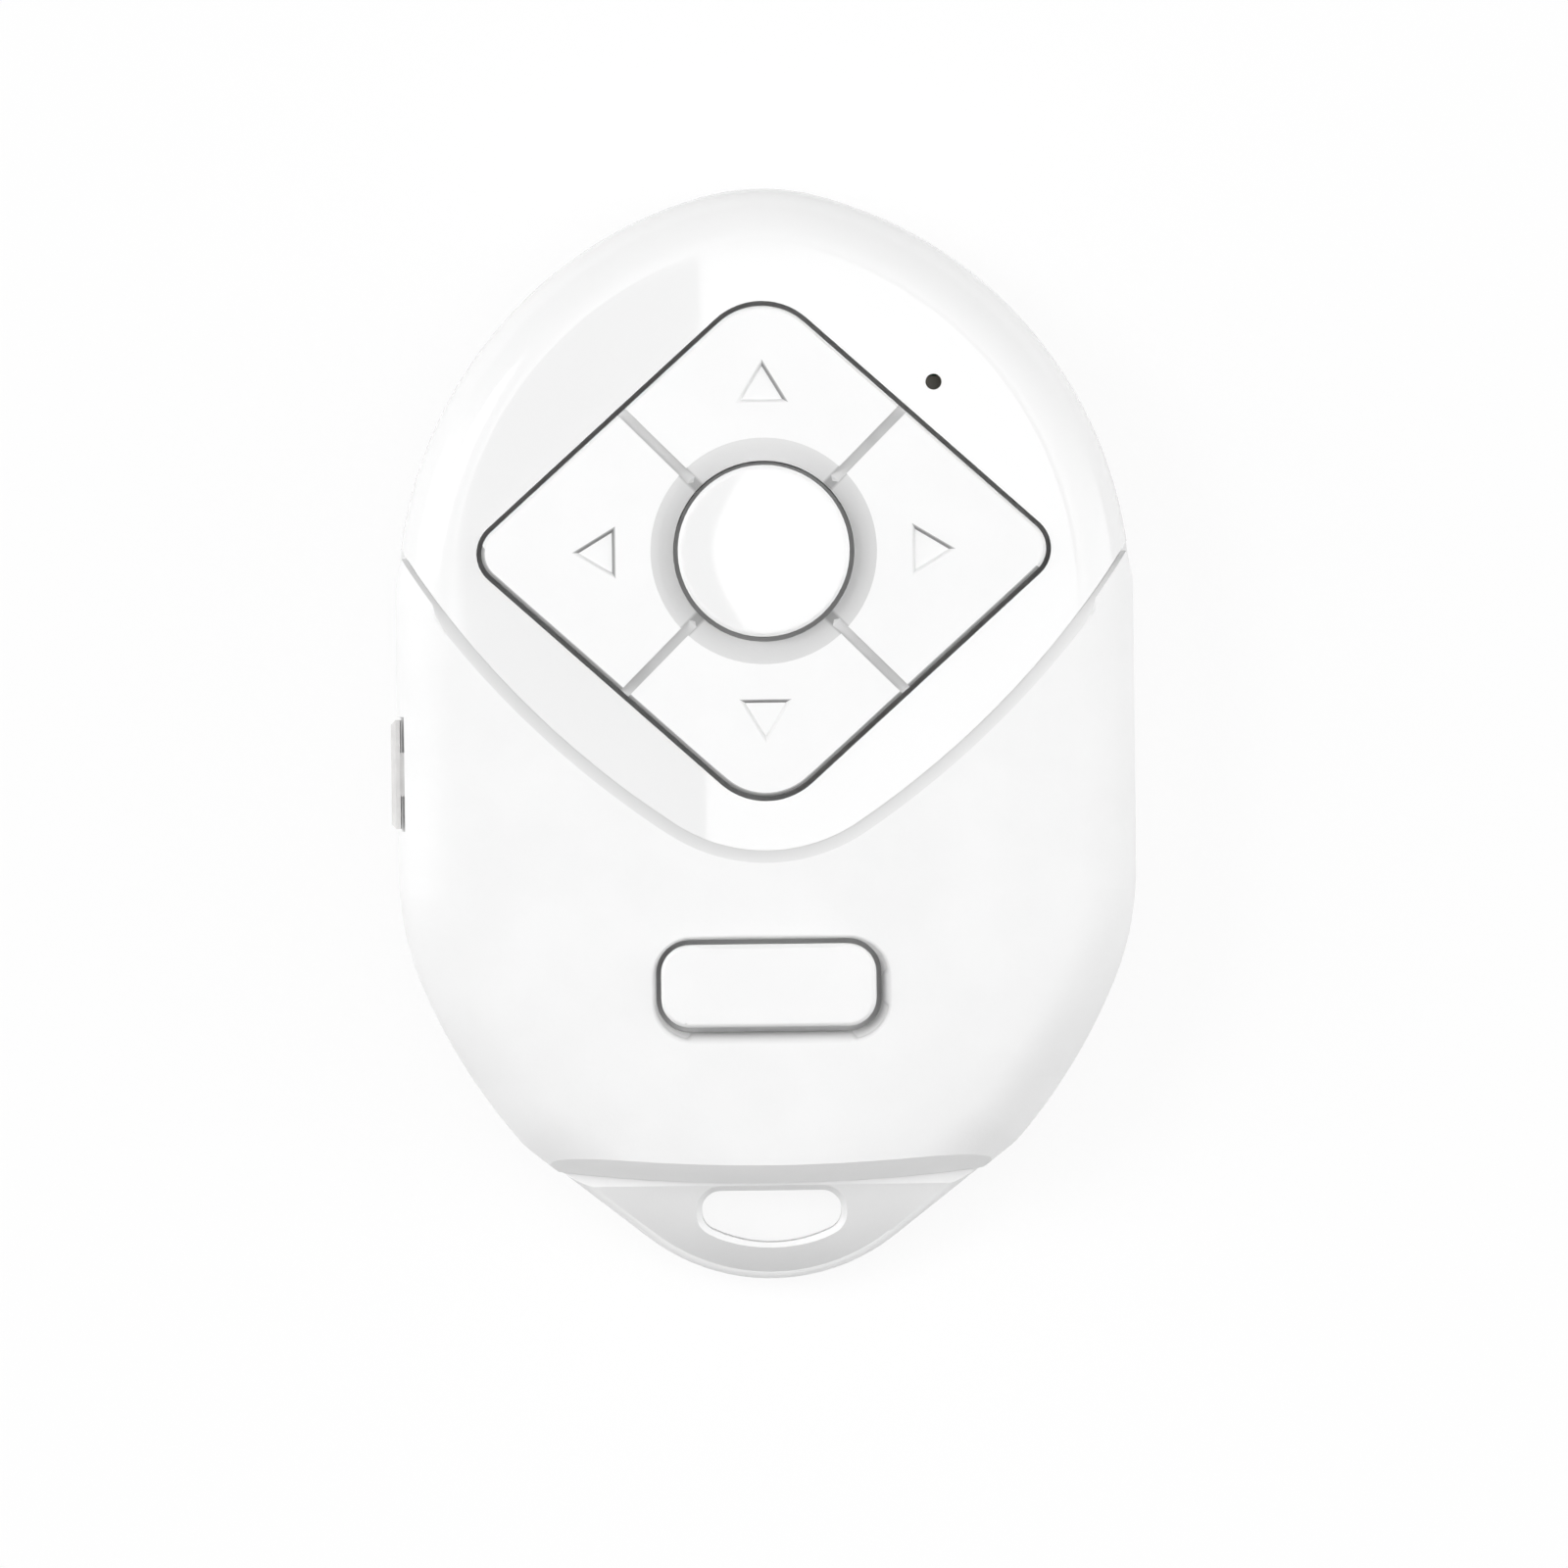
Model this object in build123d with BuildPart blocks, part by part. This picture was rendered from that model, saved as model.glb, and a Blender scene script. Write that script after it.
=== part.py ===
from build123d import *
from math import acos, atan2, cos, degrees, hypot, radians, sin, sqrt, tan
import os

os.makedirs("parts", exist_ok=True)

# Palm-sized wireless remote control, in millimetres. It lies on its flat back: +Z leaves the front,
# +Y points to the rounded nose, -Y to the lanyard tongue, and the origin is the middle of the back.

# Plan outline of the body
nose_tip = 30.0
nose_radius = 12.18
body_half_width = 20.14
flank_radius = 23.09
side_end = -7.42
shoulder_radius = 16.25
shoulder_turn = 22.9
lower_flank_radius = 31.98
lower_flank_turn = 18.4
corner_rounding = 4.0
tongue_tip = -30.0
tongue_nose_radius = 11.0

# Heights and walls of the shells
parting_height = 5.4
crown_above_board = 4.5
dome_radius = 300.0
rim_radius = 3.2
front_wall = 1.2
back_wall = 1.3
back_floor = 1.4
back_edge_radius = 1.6
end_edge = -23.49
end_wall_radius = 91.0
end_wall_lean = 15.0

# Matte cover, which stands proud of the glossy fascia along the seam
cover_front_step = 0.25
cover_side_step = 0.11
cover_straight_top = 7.8
cover_end_rounding = 6.0
cover_edge_chamfer = 0.3
seam_low = -6.4
seam_nose_radius = 9.14
seam_nose_turn = 33.6
seam_flank_radius = 51.0
seam_flank_turn = 28.5
seam_gap = 0.05
lip_width = 1.6
lip_drop = 0.65
lip_clearance = 0.1

# Rim joint between the back case and the front
rim_lip_height = 0.8
rim_lip_root = 1.0
rim_lip_wall = 0.7

# Lanyard tongue and its hole
tongue_root_height = 4.9
tongue_tip_height = 2.8
tongue_edge_radius = 0.6
hole_half_width = 3.85
hole_top = -25.1
hole_bottom = -28.0
hole_arc_radius = 7.4
hole_corner_radius = 1.05
hole_rim_chamfer = 0.3

# Four-way pad
pad_middle = 10.04
pad_half_width = 16.47
pad_half_height = 14.8
pad_side_rounding = 1.76
pad_end_rounding = 3.6
pad_gap = 0.27
pad_rise = 0.35
pad_bottom = 7.8
pad_plate = 1.2
pad_wall = 1.1
pad_edge_chamfer = 0.2
pad_flange = 0.75
pad_flange_thickness = 0.45
key_reach = 9.3
arrow_height = 2.4
arrow_base = 2.9
arrow_depth = 0.2
groove_width = 0.55
groove_depth = 0.5
dish_radius = 6.2
dish_depth = 0.95
hub_wall = 0.9
pad_rib = 0.8
key_boss_radius = 1.2
cushion_gap = 0.3
cushion_thickness = 0.6
cushion_hole_radius = 6.4
cushion_side = 15.5

# Round centre button
centre_gap_radius = 4.83
centre_gap = 0.26
centre_proud = 1.0
centre_bulge = 0.4
centre_flat_radius = 2.8
centre_shoulder_radius = 4.1
centre_wall = 0.8
centre_flange = 0.75
centre_flange_thickness = 0.4
centre_flange_gap = 0.3
stem_radius = 1.3

# Lower button
lower_middle = -13.74
lower_width = 12.06
lower_height = 4.8
lower_corner = 1.7
lower_gap = 0.27
lower_rise = 0.45
lower_wall = 0.9
lower_edge_chamfer = 0.25
lower_flange = 0.55
lower_flange_drop = 2.6
lower_flange_thickness = 0.35
moat_depth = 0.5
moat_shift_x = 0.15
moat_shift_y = -0.2

# Indicator light
light_x = 9.4
light_y = 19.2
light_hole_radius = 0.44
light_length = 1.6
light_width = 0.8
light_height = 0.6

# Circuit board and its fixing
board_bottom = 5.5
board_thickness = 1.0
board_inset = 2.4
screw_places = [(13.0, 16.0), (-13.0, 16.0)]
rest_places = [(12.5, -13.0), (-12.5, -13.0)]
rest_side = 2.0
screw_radius = 0.75
screw_length = 3.6
screw_head_radius = 1.3
screw_head_height = 0.7
screw_slot_width = 0.4
screw_slot_depth = 0.3
boss_radius = 1.7
hole_clearance = 0.05

# Tact switches
switch_side = 4.0
switch_base_height = 0.9
switch_floor = 0.2
switch_cavity = 3.0
switch_sheet = 0.1
plunger_side = 1.4
plunger_top = 1.5
plunger_flange = 0.3
plunger_flange_thickness = 0.15
snap_length = 2.8
snap_width = 1.8
snap_rise = 0.2
snap_sheet = 0.07

# Power switch and its side knob
knob_middle = -1.95
knob_length = 6.0
knob_proud = 0.4
knob_thickness = 0.5
knob_bottom = 2.55
knob_top = 5.25
knob_edge_chamfer = 0.25
knob_travel = 1.5
knob_ridges = 5
knob_ridge_gap = 0.3
knob_ridge_depth = 0.15
knob_ridge_end = 0.6
knob_clearance = 0.12
knob_slide_gap = 0.3
knob_notch_gap = 0.15
stem_length = 2.4
stem_bottom = 4.3
stem_top = 5.2
stem_frame_gap = 0.2
fork_depth = 1.1
lever_width = 1.0
lever_reach = 1.0
lever_bottom = 4.4
lever_top = 5.1
lever_block_length = 2.8
lever_block_depth = 1.6
frame_wall_gap = 1.94
power_frame_depth = 2.6
power_frame_length = 6.6
power_frame_height = 1.4
power_frame_sheet = 0.2
power_frame_clearance = 0.3

# Coin cell, its door and its contacts
cell_radius = 10.0
cell_height = 3.2
cell_cap_radius = 8.7
cell_cap_height = 0.4
cell_edge_chamfer = 0.2
cell_gap = 0.1
door_radius = 12.9
door_plate = 0.6
door_boss_radius = 11.1
door_gap = 0.1
door_recess = 0.2
door_inner = 1.6
door_edge_chamfer = 0.25
door_slot_length = 11.0
door_slot_width = 1.8
door_slot_depth = 0.8
lug_count = 3
lug_reach = 1.2
lug_inner_radius = 10.5
lug_angle = 22.0
lug_notch_angle = 26.0
lug_clearance = 0.08
lug_thickness = 0.5
door_turn = 40.0
cell_wall_gap = 2.6
cell_wall = 1.0
cell_wall_top = 4.8
cell_rib = 1.0
cell_rib_gap = 0.25
contact_sheet = 0.2
contact_clearance = 0.05
contact_width = 4.0
contact_length = 12.0
contact_dimple_radius = 1.4

# Radio parts on the board
chip_side = 4.0
chip_height = 0.85
chip_y = -8.0
crystal_length = 3.2
crystal_width = 2.5
crystal_height = 0.7
crystal_x = 6.0
capacitor_length = 1.0
capacitor_width = 0.5
capacitor_height = 0.5
antenna_sheet = 0.1
antenna_line = 0.5
antenna_pitch = 1.2
antenna_turns = 5
antenna_height = 2.6
antenna_y = -19.3

board_top = board_bottom + board_thickness
crown_height = board_top + crown_above_board
centre_top = crown_height + centre_proud
cover_half_width = body_half_width + cover_side_step
pad_hole_radius = centre_gap_radius + centre_gap / 2
centre_radius = centre_gap_radius - centre_gap / 2
knob_face_x = -cover_half_width - knob_proud
channel_x = knob_face_x + knob_thickness + knob_slide_gap


# Right half of the plan outline below the straight side, down to the tongue's tip
def draw_lower_edge(half_width, step):
    shoulder = shoulder_radius + step
    lower_flank = lower_flank_radius + step
    shoulder_middle = Vector(half_width - shoulder, side_end)
    turn_way = Vector(cos(radians(shoulder_turn)), -sin(radians(shoulder_turn)))
    flank_middle = shoulder_middle - turn_way * (lower_flank - shoulder)
    CenterArc(shoulder_middle, shoulder, -shoulder_turn, shoulder_turn)
    flank_end = -shoulder_turn - lower_flank_turn
    lower_arc = CenterArc(flank_middle, lower_flank, flank_end, lower_flank_turn)
    corner = lower_arc @ 0
    tongue_radius = tongue_nose_radius + step
    tongue_middle = Vector(0, tongue_tip + tongue_nose_radius)
    to_corner = corner - tongue_middle
    corner_angle = degrees(atan2(to_corner.Y, to_corner.X))
    touch_angle = corner_angle - degrees(acos(tongue_radius / hypot(to_corner.X, to_corner.Y)))
    tongue_arc = CenterArc(tongue_middle, tongue_radius, -90, 90 + touch_angle)
    Line(corner, tongue_arc @ 1)
    return corner.Y


# Plan outline of the body, grown or shrunk all round
def body_outline(grow=0.0):
    with BuildSketch() as outline:
        with BuildLine():
            nose_middle = Vector(0, nose_tip - nose_radius)
            inset = flank_radius - body_half_width
            climb = sqrt((flank_radius - nose_radius) ** 2 - inset**2)
            flank_middle = Vector(-inset, nose_middle.Y - climb)
            meet_angle = degrees(atan2(climb, inset))
            CenterArc(nose_middle, nose_radius, meet_angle, 90 - meet_angle)
            CenterArc(flank_middle, flank_radius, 0, meet_angle)
            Line((body_half_width, flank_middle.Y), (body_half_width, side_end))
            corner_y = draw_lower_edge(body_half_width, 0.0)
            mirror(about=Plane.YZ)
        make_face()
        fillet(corners_at(outline, corner_y), corner_rounding)
        if grow:
            offset(amount=grow)
    return outline.sketch


# Plan outline of the matte cover: wider than the fascia, and rounded in towards the seam's ends
def cover_outline():
    with BuildSketch() as outline:
        with BuildLine():
            Line((cover_half_width, cover_straight_top), (cover_half_width, side_end))
            end_middle = (cover_half_width - cover_end_rounding, cover_straight_top)
            end_arc = CenterArc(end_middle, cover_end_rounding, 0, 90)
            Line(end_arc @ 1, (0, cover_straight_top + cover_end_rounding))
            corner_y = draw_lower_edge(cover_half_width, cover_side_step)
            mirror(about=Plane.YZ)
        make_face()
        fillet(corners_at(outline, corner_y), corner_rounding)
    return outline.sketch


def corners_at(outline, height):
    return outline.vertices().filter_by(lambda corner: abs(corner.Y - height) < 0.001)


# Plan area on the nose side of the seam, widened past it
def seam_area(shift=0.0):
    with BuildSketch() as area:
        with BuildLine():
            nose_arc = CenterArc((0, seam_low + seam_nose_radius), seam_nose_radius, -90, seam_nose_turn)
            flank_arc = JernArc(nose_arc @ 1, nose_arc % 1, seam_flank_radius, seam_flank_turn)
            outside = flank_arc @ 1
            beyond = 2 * nose_tip
            Polyline(outside, (outside.X, beyond), (0, beyond))
            mirror(about=Plane.YZ)
        make_face()
        if shift:
            offset(amount=shift)
    return area.sketch


# Space inside the leaning end wall above the tongue
def end_wall_space(grow=0.0):
    top = 2 * crown_height
    lean = tan(radians(end_wall_lean))
    slant = grow / cos(radians(end_wall_lean))
    edge_height = crown_height + cover_front_step - (end_edge - pad_middle) ** 2 / (2 * dome_radius)
    with BuildPart() as space:
        with Locations((0, end_edge + end_wall_radius, 0)):
            Cone(
                end_wall_radius + edge_height * lean + slant,
                end_wall_radius + (edge_height - top) * lean + slant,
                top,
                align=(Align.CENTER, Align.CENTER, Align.MIN),
            )
    return space.part


# Upright block over a plan outline, ended by the leaning wall
def body_block(grow, low, high):
    with BuildPart() as block:
        with BuildSketch(Plane.XY.offset(low)):
            add(body_outline(grow))
        extrude(amount=high - low)
        add(end_wall_space(grow), mode=Mode.INTERSECT)
    return block.part


# Ball whose top is the domed front, raised or lowered
def dome_ball(rise):
    with BuildPart() as ball:
        with Locations((0, pad_middle, crown_height - dome_radius)):
            Sphere(dome_radius + rise, rotation=(90, 0, 0))
    return ball.part


# Domed block over a plan outline, its rim rounded, or broken by a slope of the same reach
def front_form(outline, rise, side, low, sloped=False):
    with BuildPart() as form:
        with BuildSketch(Plane.XY.offset(low)):
            add(outline)
        extrude(amount=2 * crown_height - low)
        add(dome_ball(rise), mode=Mode.INTERSECT)
        rim = form.faces().sort_by(Axis.Z)[-1].edges()
        if sloped:
            chamfer(rim, (rim_radius + side) * (2 - sqrt(2)))
        else:
            fillet(rim, rim_radius + side)
        add(end_wall_space(side), mode=Mode.INTERSECT)
    return form.part


# Tall block over a plan area, for cutting through
def through_block(area):
    with BuildPart() as block:
        with BuildSketch():
            add(area)
        extrude(amount=2 * crown_height)
    return block.part


# Plan outline of the four-way pad, measured from the middle of its black gap
def pad_outline(grow):
    with BuildSketch() as outline:
        with Locations((0, pad_middle)):
            Polygon((pad_half_width, 0), (0, pad_half_height), (-pad_half_width, 0), (0, -pad_half_height))
        side_tips = outline.vertices().filter_by(lambda tip: abs(tip.X) > pad_half_width / 2)
        fillet(side_tips, pad_side_rounding)
        end_tips = outline.vertices().filter_by(lambda tip: abs(tip.X) < 0.001)
        fillet(end_tips, pad_end_rounding)
        offset(amount=grow)
    return outline.sketch


def lower_button_outline(grow):
    with BuildSketch() as outline:
        with Locations((0, lower_middle)):
            RectangleRounded(lower_width + 2 * grow, lower_height + 2 * grow, lower_corner + grow)
    return outline.sketch


# Whatever stands over a plan area between a sunk copy of the dome and the air
def sunk_cutter(area, rise, depth):
    with BuildPart() as cutter:
        with BuildSketch():
            add(area)
        extrude(amount=2 * crown_height)
        add(dome_ball(rise - depth), mode=Mode.SUBTRACT)
    return cutter.part


# Plane that touches the raised or lowered dome over a place in the plan
def dome_plane(x, y, rise):
    across = (x / dome_radius, (y - pad_middle) / dome_radius)
    upward = Vector(*across, sqrt(1 - hypot(*across) ** 2))
    dome_centre = Vector(0, pad_middle, crown_height - dome_radius)
    return Plane(dome_centre + upward * (dome_radius + rise), x_dir=(1, 0, 0), z_dir=upward)


# Two strips that cross at the pad's middle
def diagonal_strips(width):
    with BuildSketch() as strips:
        with Locations((0, pad_middle)):
            Rectangle(4 * pad_half_width, width, rotation=45)
            Rectangle(4 * pad_half_width, width, rotation=-45)
    return strips.sketch


def lanyard_hole():
    with BuildSketch() as hole:
        with Locations((0, hole_bottom + hole_arc_radius)):
            Circle(hole_arc_radius)
        with Locations((0, hole_top)):
            Rectangle(
                2 * hole_half_width,
                2 * hole_arc_radius,
                align=(Align.CENTER, Align.MAX),
                mode=Mode.INTERSECT,
            )
        fillet(hole.vertices(), hole_corner_radius)
    return hole.sketch


# Part of a flat ring round the cell's axis
def ring_sector(inner, outer, middle_angle, width_angle):
    with BuildSketch() as sector:
        with BuildLine():
            outer_arc = CenterArc((0, 0), outer, middle_angle - width_angle / 2, width_angle)
            inner_arc = CenterArc((0, 0), inner, middle_angle - width_angle / 2, width_angle)
            Line(outer_arc @ 0, inner_arc @ 0)
            Line(outer_arc @ 1, inner_arc @ 1)
        make_face()
    return sector.sketch


# Upright post or hole
def post(place, radius, low, high, mode=Mode.ADD):
    with Locations((place[0], place[1], low)):
        Cylinder(radius, high - low, align=(Align.CENTER, Align.CENTER, Align.MIN), mode=mode)


# Upright post or hole of square section
def square_post(place, side, low, high, mode=Mode.ADD):
    with Locations((place[0], place[1], low)):
        Box(side, side, high - low, align=(Align.CENTER, Align.CENTER, Align.MIN), mode=mode)


# Upright block between two corners
def block(low_corner, high_corner, mode=Mode.ADD):
    size = [high - low for low, high in zip(low_corner, high_corner)]
    with Locations(low_corner):
        Box(*size, align=(Align.MIN, Align.MIN, Align.MIN), mode=mode)


front_cavity = front_form(body_outline(-front_wall), -front_wall, -front_wall, 0, sloped=True)
lip_form = front_form(body_outline(-lip_drop), -lip_drop, -lip_drop, parting_height)
lip_side = lip_clearance - lip_drop
lip_space_form = front_form(body_outline(lip_side), lip_side, lip_side, 0)

# Glossy front fascia: domed shell round the pad, with a sunk lip that runs under the cover
with BuildPart() as fascia_face:
    add(front_form(body_outline(), 0, 0, parting_height))
    add(through_block(seam_area(-seam_gap)), mode=Mode.INTERSECT)
with BuildPart() as front_fascia:
    add(lip_form)
    add(through_block(seam_area(lip_width)), mode=Mode.INTERSECT)
    add(fascia_face.part)
    add(front_cavity, mode=Mode.SUBTRACT)
    add(through_block(pad_outline(pad_gap / 2)), mode=Mode.SUBTRACT)
    post((light_x, light_y), light_hole_radius, 0, 2 * crown_height, Mode.SUBTRACT)
front_fascia.part.label = "front_fascia"
export_step(front_fascia.part, "parts/front_fascia.step")

# Matte front cover: the lower half of the front, with the edge of its step at the seam broken, the
# lower button's sunk opening and a notch beside the knob
with BuildPart() as lip_space:
    add(lip_space_form)
    add(through_block(seam_area(lip_width + lip_clearance)), mode=Mode.INTERSECT)
with BuildPart() as front_cover:
    add(front_form(cover_outline(), cover_front_step, cover_side_step, parting_height))
    add(through_block(seam_area()), mode=Mode.SUBTRACT)
    upright = front_cover.faces().filter_by(lambda face: abs(face.normal_at().Z) < 0.001)
    seam_walls = upright.filter_by(
        lambda face: face.normal_at().Y > 0.1 and face.center().X * face.normal_at().X < 0.001
    )
    seam_rim = seam_walls.edges().filter_by(
        lambda edge: edge.center().Z > parting_height and abs((edge % 0.5).Z) < 0.9
    )
    chamfer(seam_rim, cover_edge_chamfer)
    add(lip_space.part, mode=Mode.SUBTRACT)
    add(front_cavity, mode=Mode.SUBTRACT)
    add(through_block(lower_button_outline(lower_gap / 2)), mode=Mode.SUBTRACT)
    moat_start = 2 * moat_depth
    moat_inset = lower_gap / 2 - moat_start + moat_depth
    with BuildSketch(dome_plane(0, lower_middle, cover_front_step - moat_start)):
        with Locations((moat_shift_x, moat_shift_y)):
            RectangleRounded(
                lower_width + 2 * moat_inset,
                lower_height + 2 * moat_inset,
                lower_corner + moat_inset,
            )
    extrude(amount=2 * moat_start, taper=-45, mode=Mode.SUBTRACT)
    block(
        (-2 * cover_half_width, knob_middle - knob_length / 2 - knob_notch_gap, 0),
        (channel_x, knob_middle + knob_length / 2 + knob_notch_gap, 2 * crown_height),
        Mode.SUBTRACT,
    )
front_cover.part.label = "front_cover"
export_step(front_cover.part, "parts/front_cover.step")

# The one flat face that leans
def slope_face(piece):
    flats = piece.faces().filter_by(GeomType.PLANE)
    return flats.filter_by(lambda face: 0.5 < face.normal_at().Z < 0.999)[0]


# Lanyard tongue: a sloping tab with a rounded rim and a D-shaped hole
with BuildPart() as tongue:
    with BuildSketch():
        add(body_outline())
    extrude(amount=tongue_root_height)
    with BuildSketch(Plane.YZ):
        Polygon(
            (end_edge, 0),
            (end_edge, tongue_root_height),
            (end_edge - back_wall, tongue_root_height),
            (tongue_tip, tongue_tip_height),
            (tongue_tip, 0),
            align=None,
        )
    extrude(amount=2 * body_half_width, both=True, mode=Mode.INTERSECT)
    add(through_block(lanyard_hole()), mode=Mode.SUBTRACT)
    fillet(slope_face(tongue).outer_wire().edges().sort_by(Axis.Y)[:-1], tongue_edge_radius)
    chamfer(slope_face(tongue).inner_wires()[0].edges(), hole_rim_chamfer)

# Raised lip that the front shells drop over
with BuildPart() as rim_lip:
    lip_low = parting_height - rim_lip_root
    lip_high = parting_height + rim_lip_height
    add(body_block(-back_wall, lip_low, lip_high))
    add(body_block(-back_wall - rim_lip_wall, lip_low, lip_high), mode=Mode.SUBTRACT)

# Back case: flat-backed tub with the tongue, the cell's round wall, which leaves room for the power
# switch, screw posts and board rests
cell_bottom = door_inner + cell_gap
cell_top = cell_bottom + cell_height
lug_radius = door_boss_radius + lug_reach
lug_bottom = back_floor + lug_clearance
lug_top = lug_bottom + lug_thickness
plate_inner = door_recess + door_plate
cell_wall_inner = cell_radius + cell_wall_gap
screw_hole_bottom = board_top - screw_length - hole_clearance
power_frame_outer_x = back_wall + frame_wall_gap - body_half_width
stem_inner_x = power_frame_outer_x - stem_frame_gap
frame_inner_x = power_frame_outer_x + power_frame_depth
frame_middle = knob_middle - knob_travel / 2
frame_low = board_bottom - power_frame_height
frame_space = power_frame_length / 2 + power_frame_clearance
sweep_low = knob_middle - knob_travel
with BuildPart() as back_case:
    add(body_block(0, 0, parting_height))
    add(tongue.part)
    back_face = back_case.faces().sort_by(Axis.Z)[0]
    fillet(back_face.outer_wire().edges(), back_edge_radius)
    add(body_block(-back_wall, back_floor, 2 * parting_height), mode=Mode.SUBTRACT)
    add(through_block(lanyard_hole()), mode=Mode.SUBTRACT)
    add(rim_lip.part)
    post((0, 0), cell_wall_inner + cell_wall, back_floor, cell_wall_top)
    post((0, 0), cell_wall_inner, back_floor, cell_wall_top, Mode.SUBTRACT)
    block(
        (power_frame_outer_x, frame_middle - frame_space, frame_low - power_frame_clearance),
        (frame_inner_x + power_frame_clearance, frame_middle + frame_space, board_bottom),
        Mode.SUBTRACT,
    )
    with BuildSketch(Plane.XY.offset(lug_top + cell_rib_gap)):
        with PolarLocations(cell_radius + cell_rib_gap, 4, start_angle=45):
            Rectangle(cell_wall_gap, cell_rib, align=(Align.MIN, Align.CENTER))
    extrude(amount=cell_wall_top - lug_top - cell_rib_gap)
    for place in screw_places:
        post(place, boss_radius, back_floor, board_bottom)
        post(place, screw_radius + hole_clearance, screw_hole_bottom, board_bottom, Mode.SUBTRACT)
    for place in rest_places:
        square_post(place, rest_side, back_floor, board_bottom)
    post((0, 0), door_radius + door_gap, 0, plate_inner + door_gap, Mode.SUBTRACT)
    post((0, 0), door_boss_radius + door_gap, 0, back_floor, Mode.SUBTRACT)
    with BuildSketch():
        for lug in range(lug_count):
            notch_angle = lug * 360 / lug_count + door_turn
            add(ring_sector(lug_inner_radius, lug_radius + door_gap, notch_angle, lug_notch_angle))
    extrude(amount=back_floor, mode=Mode.SUBTRACT)
    block(
        (knob_face_x, sweep_low - knob_length / 2 - knob_clearance, knob_bottom - knob_clearance),
        (channel_x, knob_middle + knob_length / 2 + knob_clearance, 2 * parting_height),
        Mode.SUBTRACT,
    )
    block(
        (knob_face_x, sweep_low - stem_length / 2 - knob_clearance, stem_bottom - knob_clearance),
        (stem_inner_x, knob_middle + stem_length / 2 + knob_clearance, parting_height),
        Mode.SUBTRACT,
    )
back_case.part.label = "back_case"
export_step(back_case.part, "parts/back_case.step")

# Battery door: a round lid with a coin slot outside and bayonet lugs that turn under the case wall
with BuildPart() as battery_door:
    post((0, 0), door_radius, door_recess, plate_inner)
    chamfer(battery_door.edges().sort_by(Axis.Z)[0], door_edge_chamfer)
    post((0, 0), door_boss_radius, plate_inner, door_inner)
    with BuildSketch(Plane.XY.offset(lug_bottom)):
        for lug in range(lug_count):
            add(ring_sector(lug_inner_radius, lug_radius, lug * 360 / lug_count, lug_angle))
    extrude(amount=lug_thickness)
    with BuildSketch(Plane.XY.offset(door_recess)):
        SlotOverall(door_slot_length, door_slot_width)
    extrude(amount=door_slot_depth, mode=Mode.SUBTRACT)
battery_door.part.label = "battery_door"
export_step(battery_door.part, "parts/battery_door.step")

# Coin cell: a can with a smaller cap on its board side
with BuildPart() as coin_cell:
    post((0, 0), cell_radius, cell_bottom, cell_top - cell_cap_height)
    chamfer(coin_cell.edges().sort_by(Axis.Z)[0], cell_edge_chamfer)
    post((0, 0), cell_cap_radius, cell_top - cell_cap_height, cell_top)
coin_cell.part.label = "coin_cell"
export_step(coin_cell.part, "parts/coin_cell.step")

# Negative contact: a strip under the board with a dimple that presses on the cell's cap
with BuildPart() as negative_contact:
    strip_low = board_bottom - contact_sheet
    block(
        (-contact_length / 2, -contact_width / 2, strip_low),
        (contact_length / 2, contact_width / 2, board_bottom),
    )
    with Locations((0, 0, cell_top + contact_clearance)):
        Cone(
            contact_dimple_radius / 2,
            contact_dimple_radius,
            strip_low - cell_top - contact_clearance,
            align=(Align.CENTER, Align.CENTER, Align.MIN),
        )
negative_contact.part.label = "negative_contact"
export_step(negative_contact.part, "parts/negative_contact.step")

# Positive contact: a foot under the board and a leaf that stands along the can's side
with BuildPart() as positive_contact:
    leaf_x = cell_radius + contact_clearance
    with BuildSketch(Plane.XZ):
        Polygon(
            (leaf_x, cell_bottom + cell_height / 4),
            (leaf_x, board_bottom),
            (leaf_x + cell_wall_gap, board_bottom),
            (leaf_x + cell_wall_gap, board_bottom - contact_sheet),
            (leaf_x + contact_sheet, board_bottom - contact_sheet),
            (leaf_x + contact_sheet, cell_bottom + cell_height / 4),
            align=None,
        )
    extrude(amount=contact_width / 2, both=True)
positive_contact.part.label = "positive_contact"
export_step(positive_contact.part, "parts/positive_contact.step")

# Circuit board: follows the case's outline inside the lip, with two screw holes
with BuildPart() as circuit_board:
    add(body_block(-board_inset, board_bottom, board_top))
    for place in screw_places:
        post(place, screw_radius + hole_clearance, board_bottom, board_top, Mode.SUBTRACT)
circuit_board.part.label = "circuit_board"
export_step(circuit_board.part, "parts/circuit_board.step")

# Board screws: slotted cheese heads on the board, blunt shanks in the posts
with BuildPart() as board_screws:
    for place in screw_places:
        post(place, screw_radius, board_top - screw_length, board_top)
        post(place, screw_head_radius, board_top, board_top + screw_head_height)
        with Locations((place[0], place[1], board_top + screw_head_height)):
            Box(
                2 * screw_head_radius,
                screw_slot_width,
                2 * screw_slot_depth,
                mode=Mode.SUBTRACT,
            )
board_screws.part.label = "board_screws"
export_step(board_screws.part, "parts/board_screws.step")

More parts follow.
